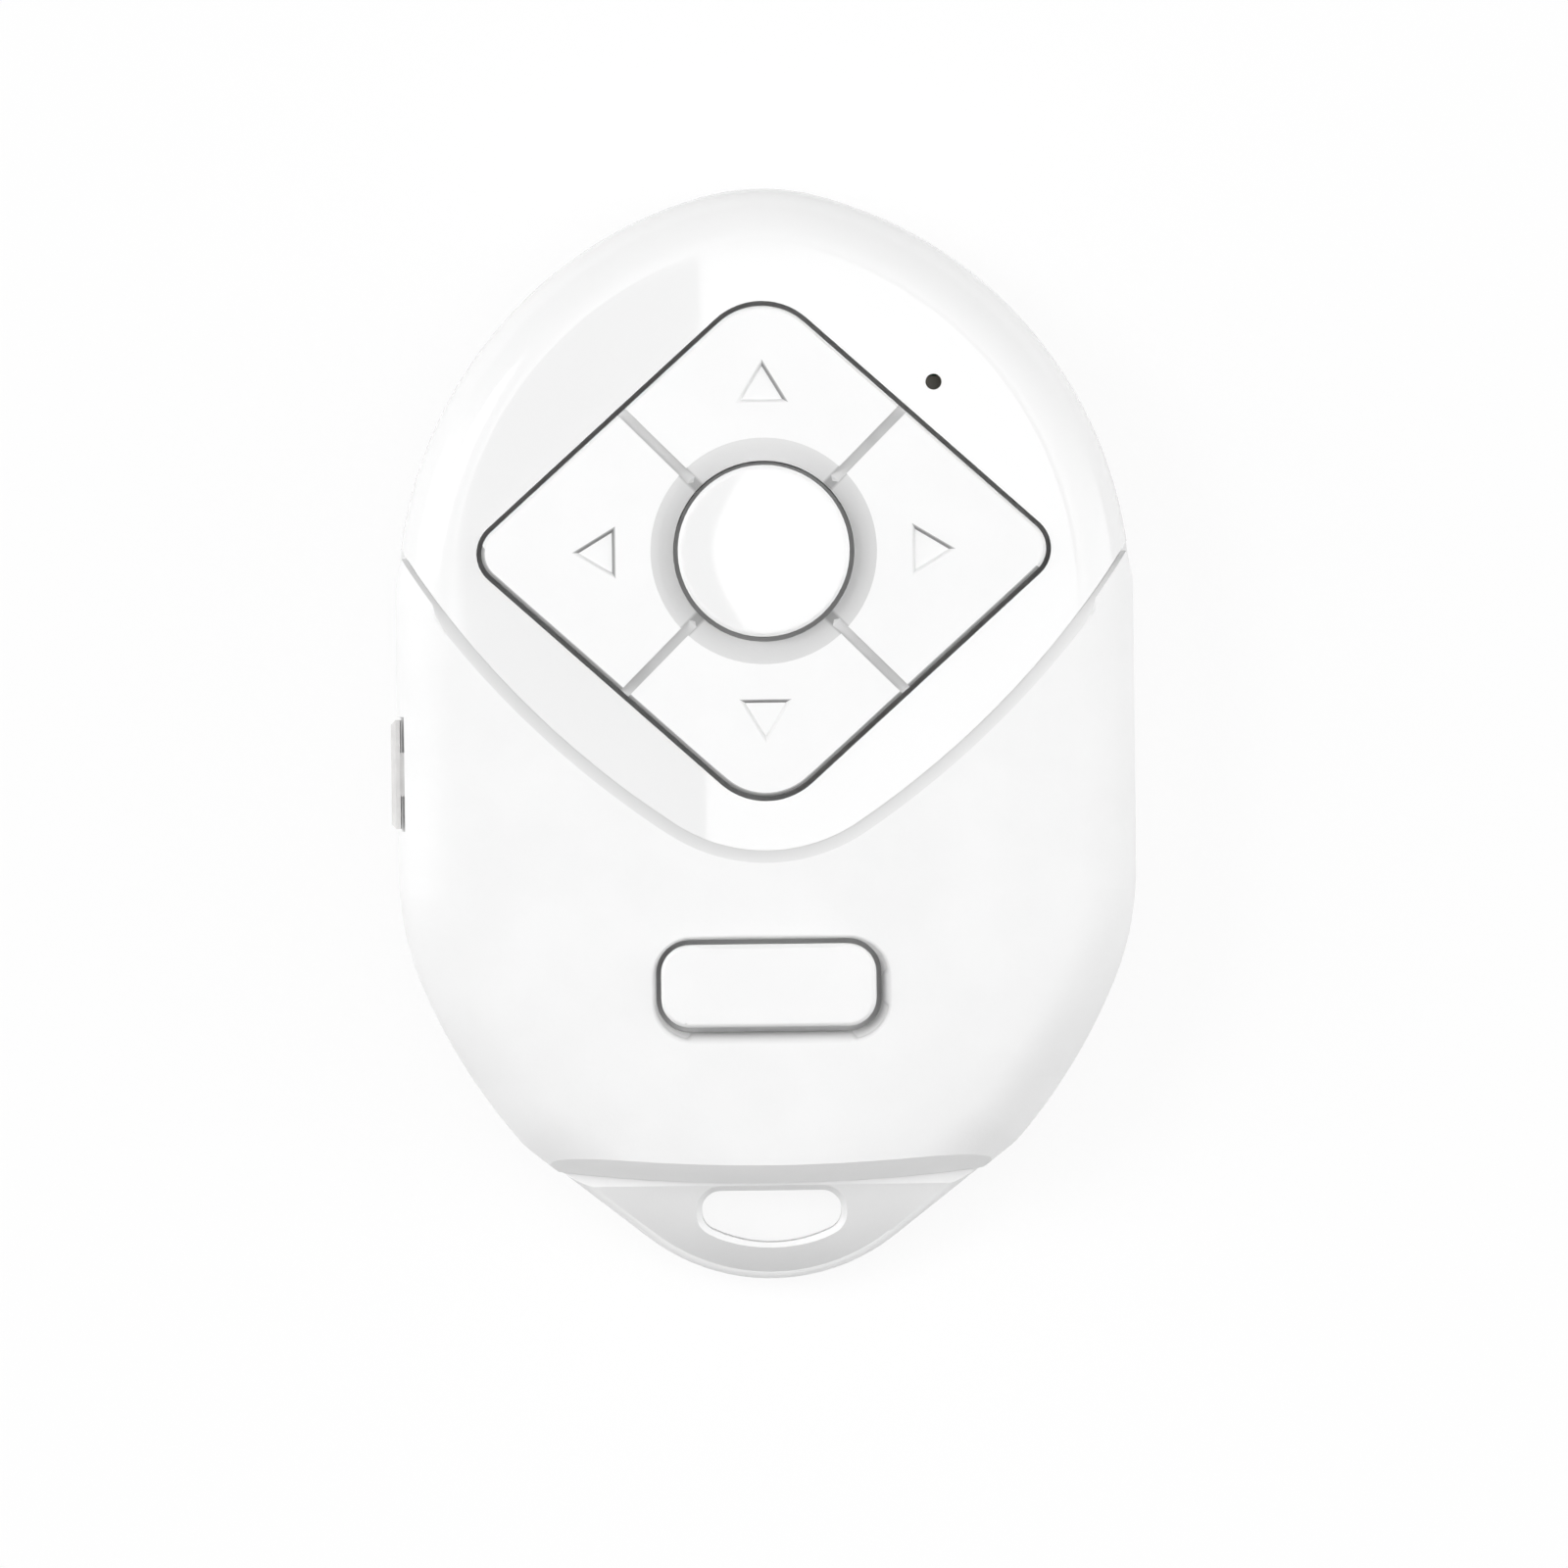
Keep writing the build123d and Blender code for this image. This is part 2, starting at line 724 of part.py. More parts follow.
# Four-way pad: one moulded key, hollow below, with a hub round the centre button's hole, ribs
# under its grooves and a boss over each switch
key_places = {
    "up": (0, pad_middle + key_reach),
    "down": (0, pad_middle - key_reach),
    "left": (-key_reach, pad_middle),
    "right": (key_reach, pad_middle),
}
plunger_reach = board_top + plunger_top
cushion_bottom = plunger_reach + cushion_gap
cushion_top = cushion_bottom + cushion_thickness
pad_underside = cushion_top + cushion_gap
with BuildPart() as pad_hollow:
    with BuildSketch(Plane.XY.offset(pad_bottom)):
        add(pad_outline(-pad_gap / 2 - pad_wall))
    extrude(amount=crown_height)
    add(dome_ball(pad_rise - pad_plate), mode=Mode.INTERSECT)
    post((0, pad_middle), pad_hole_radius + hub_wall, pad_bottom, 2 * crown_height, Mode.SUBTRACT)
    for place in key_places.values():
        post(place, key_boss_radius, pad_underside, 2 * crown_height, Mode.SUBTRACT)
    with BuildSketch(Plane.XY.offset(pad_underside)):
        add(diagonal_strips(pad_rib))
    extrude(amount=crown_height, mode=Mode.SUBTRACT)
with BuildPart() as direction_pad:
    with BuildSketch(Plane.XY.offset(pad_bottom)):
        add(pad_outline(-pad_gap / 2))
    extrude(amount=crown_height)
    add(dome_ball(pad_rise), mode=Mode.INTERSECT)
    chamfer(direction_pad.faces().sort_by(Axis.Z)[-1].edges(), pad_edge_chamfer)
    with BuildSketch(Plane.XY.offset(pad_bottom)):
        add(pad_outline(pad_flange))
    extrude(amount=pad_flange_thickness)
    add(pad_hollow.part, mode=Mode.SUBTRACT)
    post((0, pad_middle), pad_hole_radius, 0, 2 * crown_height, Mode.SUBTRACT)
    dish_low = crown_height + pad_rise - dish_radius**2 / (2 * dome_radius) - dish_depth
    with Locations((0, pad_middle, dish_low)):
        Cone(
            pad_hole_radius,
            2 * dish_radius - pad_hole_radius,
            2 * dish_depth,
            align=(Align.CENTER, Align.CENTER, Align.MIN),
            mode=Mode.SUBTRACT,
        )
    add(sunk_cutter(diagonal_strips(groove_width), pad_rise, groove_depth), mode=Mode.SUBTRACT)
    for turn, key in enumerate(("right", "up", "left", "down")):
        with BuildSketch(dome_plane(*key_places[key], pad_rise - arrow_depth)):
            with Locations(Rotation(0, 0, 90 * turn)):
                Polygon(
                    (-arrow_height / 2, -arrow_base / 2),
                    (arrow_height / 2, 0),
                    (-arrow_height / 2, arrow_base / 2),
                    align=None,
                )
            offset(amount=-arrow_depth, kind=Kind.INTERSECTION)
        extrude(amount=2 * arrow_depth, taper=-45, mode=Mode.SUBTRACT)
direction_pad.part.label = "direction_pad"
export_step(direction_pad.part, "parts/direction_pad.step")

# Silicone cushion between the pad and its four switches: a square sheet with a corner over each
# plunger and a round hole for the centre button
with BuildPart() as pad_cushion:
    with BuildSketch(Plane.XY.offset(cushion_bottom)):
        with Locations((0, pad_middle)):
            Rectangle(cushion_side, cushion_side, rotation=45)
            Circle(cushion_hole_radius, mode=Mode.SUBTRACT)
    extrude(amount=cushion_thickness)
pad_cushion.part.label = "pad_cushion"
export_step(pad_cushion.part, "parts/pad_cushion.step")

# Round centre button: glossy cap that bulges to its edge, with a skirt, a flange and a stem
centre_bottom = pad_bottom - centre_flange_gap - centre_flange_thickness
with BuildPart() as centre_button:
    with BuildSketch(Plane.XZ.offset(-pad_middle)):
        with BuildLine():
            crown = Bezier(
                (0, centre_top),
                (centre_flat_radius / 2, centre_top),
                (centre_flat_radius, centre_top),
                (centre_shoulder_radius, centre_top),
                (centre_radius, centre_top - centre_bulge),
            )
            Polyline(crown @ 1, (centre_radius, centre_bottom), (0, centre_bottom), crown @ 0)
        make_face()
    revolve(axis=Axis((0, pad_middle, 0), (0, 0, 1)))
    flange_top = centre_bottom + centre_flange_thickness
    post((0, pad_middle), centre_radius + centre_flange, centre_bottom, flange_top)
    hollow_top = centre_top - centre_bulge - centre_wall
    post((0, pad_middle), centre_radius - centre_wall, centre_bottom, hollow_top, Mode.SUBTRACT)
    post((0, pad_middle), stem_radius, plunger_reach, hollow_top)
centre_button.part.label = "centre_button"
export_step(centre_button.part, "parts/centre_button.step")

# Lower button: rounded bar that follows the dome, hollow below, on its own stem and flange
lower_bottom = crown_height - lower_flange_drop - lower_flange_thickness
with BuildPart() as lower_hollow:
    with BuildSketch(Plane.XY.offset(lower_bottom)):
        add(lower_button_outline(-lower_gap / 2 - lower_wall))
    extrude(amount=crown_height)
    add(dome_ball(cover_front_step + lower_rise - lower_wall), mode=Mode.INTERSECT)
    post((0, lower_middle), stem_radius, plunger_reach, 2 * crown_height, Mode.SUBTRACT)
with BuildPart() as lower_button:
    with BuildSketch(Plane.XY.offset(lower_bottom)):
        add(lower_button_outline(-lower_gap / 2))
    extrude(amount=crown_height)
    add(dome_ball(cover_front_step + lower_rise), mode=Mode.INTERSECT)
    chamfer(lower_button.faces().sort_by(Axis.Z)[-1].edges(), lower_edge_chamfer)
    with BuildSketch(Plane.XY.offset(lower_bottom)):
        add(lower_button_outline(lower_flange))
    extrude(amount=lower_flange_thickness)
    add(lower_hollow.part, mode=Mode.SUBTRACT)
lower_button.part.label = "lower_button"
export_step(lower_button.part, "parts/lower_button.step")

# Side knob of the power switch: ridged face outside, a stem through the case wall and a fork that
# holds the switch's lever
with BuildPart() as power_knob:
    block(
        (knob_face_x, knob_middle - knob_length / 2, knob_bottom),
        (knob_face_x + knob_thickness, knob_middle + knob_length / 2, knob_top),
    )
    face_edges = power_knob.faces().sort_by(Axis.X)[0].edges()
    chamfer(face_edges, knob_edge_chamfer)
    ridge_height = knob_top - knob_bottom - 2 * knob_ridge_end
    with Locations((knob_face_x, knob_middle, (knob_bottom + knob_top) / 2)):
        with GridLocations(0, knob_length / (knob_ridges + 1), 1, knob_ridges):
            Box(2 * knob_ridge_depth, knob_ridge_gap, ridge_height, mode=Mode.SUBTRACT)
    block(
        (knob_face_x + knob_thickness, knob_middle - stem_length / 2, stem_bottom),
        (stem_inner_x, knob_middle + stem_length / 2, stem_top),
    )
    block(
        (stem_inner_x - fork_depth, knob_middle - lever_width / 2 - hole_clearance, stem_bottom),
        (stem_inner_x, knob_middle + lever_width / 2 + hole_clearance, stem_top),
        Mode.SUBTRACT,
    )
power_knob.part.label = "power_knob"
export_step(power_knob.part, "parts/power_knob.step")

# Power switch under the board's edge: a folded steel frame with a slot for its lever
with BuildPart() as power_switch_frame:
    block(
        (power_frame_outer_x, frame_middle - power_frame_length / 2, frame_low),
        (frame_inner_x, frame_middle + power_frame_length / 2, board_bottom),
    )
    fillet(power_switch_frame.edges().filter_by(Axis.Z), power_frame_sheet)
    block(
        (
            power_frame_outer_x + power_frame_sheet,
            frame_middle - power_frame_length / 2 + power_frame_sheet,
            frame_low + power_frame_sheet,
        ),
        (
            frame_inner_x - power_frame_sheet,
            frame_middle + power_frame_length / 2 - power_frame_sheet,
            board_bottom - power_frame_sheet,
        ),
        Mode.SUBTRACT,
    )
    slot_half = (lever_width + knob_travel) / 2 + hole_clearance
    block(
        (power_frame_outer_x, frame_middle - slot_half, lever_bottom - hole_clearance),
        (
            power_frame_outer_x + power_frame_sheet,
            frame_middle + slot_half,
            lever_top + hole_clearance,
        ),
        Mode.SUBTRACT,
    )
power_switch_frame.part.label = "power_switch_frame"
export_step(power_switch_frame.part, "parts/power_switch_frame.step")

# Lever of the power switch: a block inside the frame and the stub that the knob's fork holds
with BuildPart() as power_switch_lever:
    lever_inner_x = power_frame_outer_x + power_frame_sheet + hole_clearance
    block(
        (lever_inner_x, knob_middle - lever_block_length / 2, lever_bottom),
        (lever_inner_x + lever_block_depth, knob_middle + lever_block_length / 2, lever_top),
    )
    block(
        (power_frame_outer_x - lever_reach, knob_middle - lever_width / 2, lever_bottom),
        (lever_inner_x, knob_middle + lever_width / 2, lever_top),
    )
power_switch_lever.part.label = "power_switch_lever"
export_step(power_switch_lever.part, "parts/power_switch_lever.step")

# Six tact switches on the board, each with a moulded base, a folded steel cover, an arched snap
# spring and a square plunger
switch_places = {"centre": (0, pad_middle), "lower": (0, lower_middle)} | key_places
base_top = board_top + switch_base_height
floor_top = board_top + switch_floor
plate_top = base_top + switch_sheet
plunger_flange_top = base_top - hole_clearance
flange_low = plunger_flange_top - plunger_flange_thickness
for key, (key_x, key_y) in switch_places.items():
    with BuildPart() as switch_base:
        square_post((key_x, key_y), switch_side, board_top, base_top)
        square_post((key_x, key_y), switch_cavity, floor_top, base_top, Mode.SUBTRACT)
    switch_base.part.label = f"{key}_switch_base"
    export_step(switch_base.part, f"parts/{key}_switch_base.step")

    with BuildPart() as switch_cover:
        block(
            (key_x - switch_side / 2 - switch_sheet, key_y - switch_side / 2, floor_top),
            (key_x + switch_side / 2 + switch_sheet, key_y + switch_side / 2, plate_top),
        )
        square_post((key_x, key_y), switch_side, floor_top, base_top, Mode.SUBTRACT)
        cover_hole = plunger_side + 2 * hole_clearance
        square_post((key_x, key_y), cover_hole, base_top, plate_top, Mode.SUBTRACT)
    switch_cover.part.label = f"{key}_switch_cover"
    export_step(switch_cover.part, f"parts/{key}_switch_cover.step")

    with BuildPart() as snap_spring:
        with BuildSketch(Plane((key_x, key_y, floor_top), x_dir=(1, 0, 0), z_dir=(0, -1, 0))):
            with BuildLine():
                half = snap_length / 2
                ThreePointArc((-half, snap_sheet), (0, snap_rise), (half, snap_sheet))
                ThreePointArc((-half, 0), (0, snap_rise - snap_sheet), (half, 0))
                Line((-half, 0), (-half, snap_sheet))
                Line((half, 0), (half, snap_sheet))
            make_face()
        extrude(amount=snap_width / 2, both=True)
    snap_spring.part.label = f"{key}_snap_spring"
    export_step(snap_spring.part, f"parts/{key}_snap_spring.step")

    with BuildPart() as plunger:
        flange_side = plunger_side + 2 * plunger_flange
        square_post((key_x, key_y), flange_side, flange_low, plunger_flange_top)
        square_post((key_x, key_y), plunger_side, plunger_flange_top, plunger_reach)
    plunger.part.label = f"{key}_plunger"
    export_step(plunger.part, f"parts/{key}_plunger.step")

# Indicator light on the board under its hole in the fascia
with BuildPart() as status_light:
    with Locations((light_x, light_y, board_top)):
        Box(
            light_length,
            light_width,
            light_height,
            align=(Align.CENTER, Align.CENTER, Align.MIN),
        )
status_light.part.label = "status_light"
export_step(status_light.part, "parts/status_light.step")

# Radio chip, its crystal and its small capacitors, between the pad and the lower button
with BuildPart() as radio_chip:
    with Locations((0, chip_y, board_top)):
        Box(chip_side, chip_side, chip_height, align=(Align.CENTER, Align.CENTER, Align.MIN))
radio_chip.part.label = "radio_chip"
export_step(radio_chip.part, "parts/radio_chip.step")

with BuildPart() as timing_crystal:
    with BuildSketch(Plane.XY.offset(board_top)):
        with Locations((crystal_x, chip_y)):
            RectangleRounded(crystal_length, crystal_width, crystal_width / 5)
    extrude(amount=crystal_height)
timing_crystal.part.label = "timing_crystal"
export_step(timing_crystal.part, "parts/timing_crystal.step")

with BuildPart() as chip_capacitors:
    with Locations((-crystal_x, chip_y, board_top)):
        with GridLocations(2 * capacitor_length, 3 * capacitor_width, 3, 2):
            Box(
                capacitor_length,
                capacitor_width,
                capacitor_height,
                align=(Align.CENTER, Align.CENTER, Align.MIN),
            )
chip_capacitors.part.label = "chip_capacitors"
export_step(chip_capacitors.part, "parts/chip_capacitors.step")

# Antenna: a copper line that runs to and fro at the tongue end of the board
with BuildPart() as board_antenna:
    with BuildSketch(Plane.XY.offset(board_top)):
        for turn in range(2 * antenna_turns + 1):
            stroke_x = (turn - antenna_turns) * antenna_pitch
            with Locations((stroke_x, antenna_y)):
                Rectangle(antenna_line, antenna_height)
            if turn:
                link_y = antenna_y + (antenna_height - antenna_line) / 2 * (-1) ** turn
                with Locations((stroke_x - antenna_pitch / 2, link_y)):
                    Rectangle(antenna_pitch, antenna_line)
    extrude(amount=antenna_sheet)
board_antenna.part.label = "board_antenna"
export_step(board_antenna.part, "parts/board_antenna.step")
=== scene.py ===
import math

import bmesh
import bpy
import numpy as np
from mathutils import Matrix, Vector


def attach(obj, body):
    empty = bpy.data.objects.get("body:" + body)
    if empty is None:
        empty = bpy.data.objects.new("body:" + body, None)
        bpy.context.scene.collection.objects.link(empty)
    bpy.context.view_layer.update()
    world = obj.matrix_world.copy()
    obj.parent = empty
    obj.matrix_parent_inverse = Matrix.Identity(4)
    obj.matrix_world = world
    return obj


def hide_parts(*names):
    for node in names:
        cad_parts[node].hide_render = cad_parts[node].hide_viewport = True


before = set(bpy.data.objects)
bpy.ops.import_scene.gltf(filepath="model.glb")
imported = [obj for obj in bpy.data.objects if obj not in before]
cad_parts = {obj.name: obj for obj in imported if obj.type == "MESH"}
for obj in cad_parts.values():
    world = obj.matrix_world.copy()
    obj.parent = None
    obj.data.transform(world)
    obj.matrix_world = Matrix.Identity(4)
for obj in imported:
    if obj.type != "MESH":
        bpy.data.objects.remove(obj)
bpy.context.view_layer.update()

mm = 0.001


# Back case: the tub that everything sits in. Moulded in white ABS from one tool with a fine spark-
# eroded finish, its tongue with the lanyard hole is part of the same shot. The front shells drop
# over its raised lip.
def grain_group():
    group = bpy.data.node_groups.new("moulded_grain", "ShaderNodeTree")
    group.interface.new_socket("Place", in_out="INPUT", socket_type="NodeSocketVector")
    fineness = group.interface.new_socket("Fineness", in_out="INPUT", socket_type="NodeSocketFloat")
    fineness.default_value = 4000.0
    patches = group.interface.new_socket("Patches", in_out="INPUT", socket_type="NodeSocketFloat")
    patches.default_value = 120.0
    group.interface.new_socket("Height", in_out="OUTPUT", socket_type="NodeSocketFloat")
    group.interface.new_socket("Cloud", in_out="OUTPUT", socket_type="NodeSocketFloat")
    nodes, links = group.nodes, group.links
    given = nodes.new("NodeGroupInput")
    out = nodes.new("NodeGroupOutput")
    pits = nodes.new("ShaderNodeTexNoise")
    pits.inputs["Detail"].default_value = 3.0
    pits.inputs["Roughness"].default_value = 0.65
    cells = nodes.new("ShaderNodeTexVoronoi")
    cells.feature = "SMOOTH_F1"
    blend = nodes.new("ShaderNodeMix")
    blend.inputs[0].default_value = 0.35
    cloud = nodes.new("ShaderNodeTexNoise")
    cloud.inputs["Detail"].default_value = 4.0
    links.new(given.outputs["Place"], pits.inputs["Vector"])
    links.new(given.outputs["Place"], cells.inputs["Vector"])
    links.new(given.outputs["Place"], cloud.inputs["Vector"])
    links.new(given.outputs["Fineness"], pits.inputs["Scale"])
    links.new(given.outputs["Fineness"], cells.inputs["Scale"])
    links.new(given.outputs["Patches"], cloud.inputs["Scale"])
    links.new(pits.outputs["Fac"], blend.inputs[2])
    links.new(cells.outputs["Distance"], blend.inputs[3])
    links.new(blend.outputs[0], out.inputs["Height"])
    links.new(cloud.outputs["Fac"], out.inputs["Cloud"])
    return group


moulded_grain = grain_group()
white = (1, 1, 1)


# Colour ramp from a deeper to a paler tone of one tint
def tone_ramp(nodes, tint, tones, ends):
    tone = nodes.new("ShaderNodeValToRGB")
    for element, share, end in zip(tone.color_ramp.elements, tones, ends):
        element.position = end
        element.color = [part * share for part in tint] + [1]
    return tone


# Moulded plastic: its tone and gloss drift a little between two values, over a fine grain
def plastic(name, tint, tones, roughness, fineness, patches, depth):
    material = bpy.data.materials.new(name)
    material.use_nodes = True
    nodes, links = material.node_tree.nodes, material.node_tree.links
    shader = nodes["Principled BSDF"]
    place = nodes.new("ShaderNodeTexCoord")
    grain = nodes.new("ShaderNodeGroup")
    grain.node_tree = moulded_grain
    grain.inputs["Fineness"].default_value = fineness
    grain.inputs["Patches"].default_value = patches
    tone = tone_ramp(nodes, tint, tones, (0.35, 0.65))
    gloss = nodes.new("ShaderNodeMapRange")
    gloss.inputs["From Min"].default_value = 0.3
    gloss.inputs["From Max"].default_value = 0.7
    gloss.inputs["To Min"].default_value, gloss.inputs["To Max"].default_value = roughness
    bump = nodes.new("ShaderNodeBump")
    bump.inputs["Strength"].default_value = 1.0
    bump.inputs["Distance"].default_value = depth
    links.new(place.outputs["Object"], grain.inputs["Place"])
    links.new(grain.outputs["Cloud"], tone.inputs["Fac"])
    links.new(grain.outputs["Cloud"], gloss.inputs["Value"])
    links.new(grain.outputs["Height"], bump.inputs["Height"])
    links.new(tone.outputs["Color"], shader.inputs["Base Color"])
    links.new(gloss.outputs["Result"], shader.inputs["Roughness"])
    links.new(bump.outputs["Normal"], shader.inputs["Normal"])
    return material


# A node's mesh comes as loose triangles: a copy of it is merged into one skin
def merged_copy(node, name, material):
    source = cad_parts[node].data
    spots = np.empty(len(source.vertices) * 3)
    source.vertices.foreach_get("co", spots)
    faces = [list(face.vertices) for face in source.polygons]
    mesh = bpy.data.meshes.new(name)
    mesh.from_pydata(spots.reshape(-1, 3).tolist(), [], faces)
    work = bmesh.new()
    work.from_mesh(mesh)
    bmesh.ops.remove_doubles(work, verts=work.verts, dist=0.0005 * mm)
    bmesh.ops.dissolve_degenerate(work, edges=work.edges, dist=0.0001 * mm)
    work.to_mesh(mesh)
    work.free()
    mesh.materials.append(material)
    piece = bpy.data.objects.new(name, mesh)
    bpy.context.scene.collection.objects.link(piece)
    return piece


def soften(piece, angle):
    piece.data.shade_smooth()
    piece.data.set_sharp_from_angle(angle=math.radians(angle))


def smooth_copy(node, name, material, angle=18):
    piece = merged_copy(node, name, material)
    soften(piece, angle)
    return piece


# Shading normals of a mesh, one row for each corner of its faces
def corner_shading(mesh):
    shading = np.empty(len(mesh.loops) * 3)
    mesh.corner_normals.foreach_get("vector", shading)
    return shading.reshape(-1, 3)


end_wall_from = -22
end_wall_lean = 57
tongue_from = -24.4
tongue_root = -24.8
tongue_lean = 31
tongue_roll_per_mm = 4.8


# Rounds the shading of the leaning end wall and of the tongue, which rolls down to its tip
def roll_end(piece):
    mesh = piece.data
    shading = corner_shading(mesh)
    for face in mesh.polygons:
        facing = face.normal
        on_wall = face.center.y < end_wall_from * mm and -0.99 < facing.y < -0.85 and facing.z > 0.2
        on_tongue = face.center.y < tongue_from * mm and 0.91 < facing.z < 0.94
        if not on_wall and not on_tongue:
            continue
        for loop, corner in enumerate(face.vertices, face.loop_start):
            way = facing.x * 0.5 if on_wall else 0.0
            past_root = tongue_root - mesh.vertices[corner].co.y / mm
            rolled = tongue_lean + tongue_roll_per_mm * past_root
            lean = math.radians(end_wall_lean if on_wall else rolled)
            shading[loop] = (way, -math.sin(lean), math.cos(lean))
            shading[loop] /= np.linalg.norm(shading[loop])
    mesh.normals_split_custom_set(shading.tolist())


# A merged copy takes the place of its node, on the same body
def stand_for(piece, node, body):
    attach(piece, body)
    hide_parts(node)


case_white = plastic("case_white", white, (0.86, 0.89), (0.46, 0.54), 5200, 140, 0.006 * mm)
case_shell = smooth_copy("back_case", "case_shell", case_white)
roll_end(case_shell)
stand_for(case_shell, "back_case", "housing")

# Battery door: a round lid in the back, from the same white ABS. A coin turns it by its slot, and
# its three lugs then grip behind the case wall.
door_lid = smooth_copy("battery_door", "door_lid", case_white)
stand_for(door_lid, "battery_door", "battery_door")


# Coin cell: a standard lithium cell, 20 mm by 3.2 mm. Its can and cap are pressed from nickel-
# plated stainless steel and show the faint rings of the press tool.
def marks_group(name, turned):
    group = bpy.data.node_groups.new(name, "ShaderNodeTree")
    group.interface.new_socket("Place", in_out="INPUT", socket_type="NodeSocketVector")
    fineness = group.interface.new_socket("Fineness", in_out="INPUT", socket_type="NodeSocketFloat")
    fineness.default_value = 9000.0
    group.interface.new_socket("Mark", in_out="OUTPUT", socket_type="NodeSocketFloat")
    nodes, links = group.nodes, group.links
    given = nodes.new("NodeGroupInput")
    out = nodes.new("NodeGroupOutput")
    lines = nodes.new("ShaderNodeTexNoise")
    lines.inputs["Detail"].default_value = 2.0
    if turned:
        flat = nodes.new("ShaderNodeVectorMath")
        flat.operation = "MULTIPLY"
        flat.inputs[1].default_value = (1, 1, 0)
        reach = nodes.new("ShaderNodeVectorMath")
        reach.operation = "LENGTH"
        links.new(given.outputs["Place"], flat.inputs[0])
        links.new(flat.outputs[0], reach.inputs[0])
        lines.noise_dimensions = "1D"
        links.new(reach.outputs["Value"], lines.inputs["W"])
    else:
        drawn = nodes.new("ShaderNodeVectorMath")
        drawn.operation = "MULTIPLY"
        drawn.inputs[1].default_value = (0.04, 1, 0.6)
        links.new(given.outputs["Place"], drawn.inputs[0])
        links.new(drawn.outputs[0], lines.inputs["Vector"])
    links.new(given.outputs["Fineness"], lines.inputs["Scale"])
    links.new(lines.outputs["Fac"], out.inputs["Mark"])
    return group


turned_marks = marks_group("turned_marks", True)
drawn_marks = marks_group("drawn_marks", False)
mark_depth = 0.002 * mm


# Worked metal: the tool's fine lines show in its tone, its gloss and its relief
def metal(name, tint, tones, roughness, marks, fineness):
    material = bpy.data.materials.new(name)
    material.use_nodes = True
    nodes, links = material.node_tree.nodes, material.node_tree.links
    shader = nodes["Principled BSDF"]
    shader.inputs["Metallic"].default_value = 1.0
    place = nodes.new("ShaderNodeTexCoord")
    tool = nodes.new("ShaderNodeGroup")
    tool.node_tree = marks
    tool.inputs["Fineness"].default_value = fineness
    tone = tone_ramp(nodes, tint, tones, (0.3, 0.7))
    gloss = nodes.new("ShaderNodeMapRange")
    gloss.inputs["To Min"].default_value, gloss.inputs["To Max"].default_value = roughness
    bump = nodes.new("ShaderNodeBump")
    bump.inputs["Distance"].default_value = mark_depth
    links.new(place.outputs["Object"], tool.inputs["Place"])
    links.new(tool.outputs["Mark"], tone.inputs["Fac"])
    links.new(tool.outputs["Mark"], gloss.inputs["Value"])
    links.new(tool.outputs["Mark"], bump.inputs["Height"])
    links.new(tone.outputs["Color"], shader.inputs["Base Color"])
    links.new(gloss.outputs["Result"], shader.inputs["Roughness"])
    links.new(bump.outputs["Normal"], shader.inputs["Normal"])
    return material


def dress(node, material):
    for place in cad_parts[node].material_slots:
        place.material = material


can_steel = metal("can_steel", (1, 0.99, 0.97), (0.62, 0.74), (0.18, 0.34), turned_marks, 9000)
lithium_can = smooth_copy("coin_cell", "lithium_can", can_steel)
stand_for(lithium_can, "coin_cell", "housing")

# Cell contacts: two strips of nickel-plated spring steel, soldered under the board. One presses a
# dimple on the cell's cap, the other stands against the side of its can.
plated_spring = metal("plated_spring", (1, 0.96, 0.9), (0.6, 0.72), (0.2, 0.32), drawn_marks, 16000)
cap_contact = smooth_copy("negative_contact", "cap_contact", plated_spring)
stand_for(cap_contact, "negative_contact", "housing")
dress("positive_contact", plated_spring)


# Circuit board: one millimetre of glass-fibre laminate under green solder mask, through which the
# copper runs show as slightly paler lines. Two screws hold it on the case's posts.
def mask_group():
    group = bpy.data.node_groups.new("copper_runs", "ShaderNodeTree")
    group.interface.new_socket("Place", in_out="INPUT", socket_type="NodeSocketVector")
    pitch = group.interface.new_socket(
        "Runs per Metre", in_out="INPUT", socket_type="NodeSocketFloat"
    )
    pitch.default_value = 500.0
    group.interface.new_socket("Run", in_out="OUTPUT", socket_type="NodeSocketFloat")
    nodes, links = group.nodes, group.links
    given = nodes.new("NodeGroupInput")
    out = nodes.new("NodeGroupOutput")
    bricks = nodes.new("ShaderNodeTexBrick")
    bricks.offset = 0.37
    bricks.squash = 0.6
    bricks.squash_frequency = 3
    bricks.inputs["Color1"].default_value = (0, 0, 0, 1)
    bricks.inputs["Color2"].default_value = (0, 0, 0, 1)
    bricks.inputs["Mortar"].default_value = (1, 1, 1, 1)
    bricks.inputs["Mortar Size"].default_value = 0.06
    bricks.inputs["Mortar Smooth"].default_value = 0.2
    bricks.inputs["Brick Width"].default_value = 1.7
    bricks.inputs["Row Height"].default_value = 0.5
    links.new(given.outputs["Place"], bricks.inputs["Vector"])
    links.new(given.outputs["Runs per Metre"], bricks.inputs["Scale"])
    links.new(bricks.outputs["Color"], out.inputs["Run"])
    return group


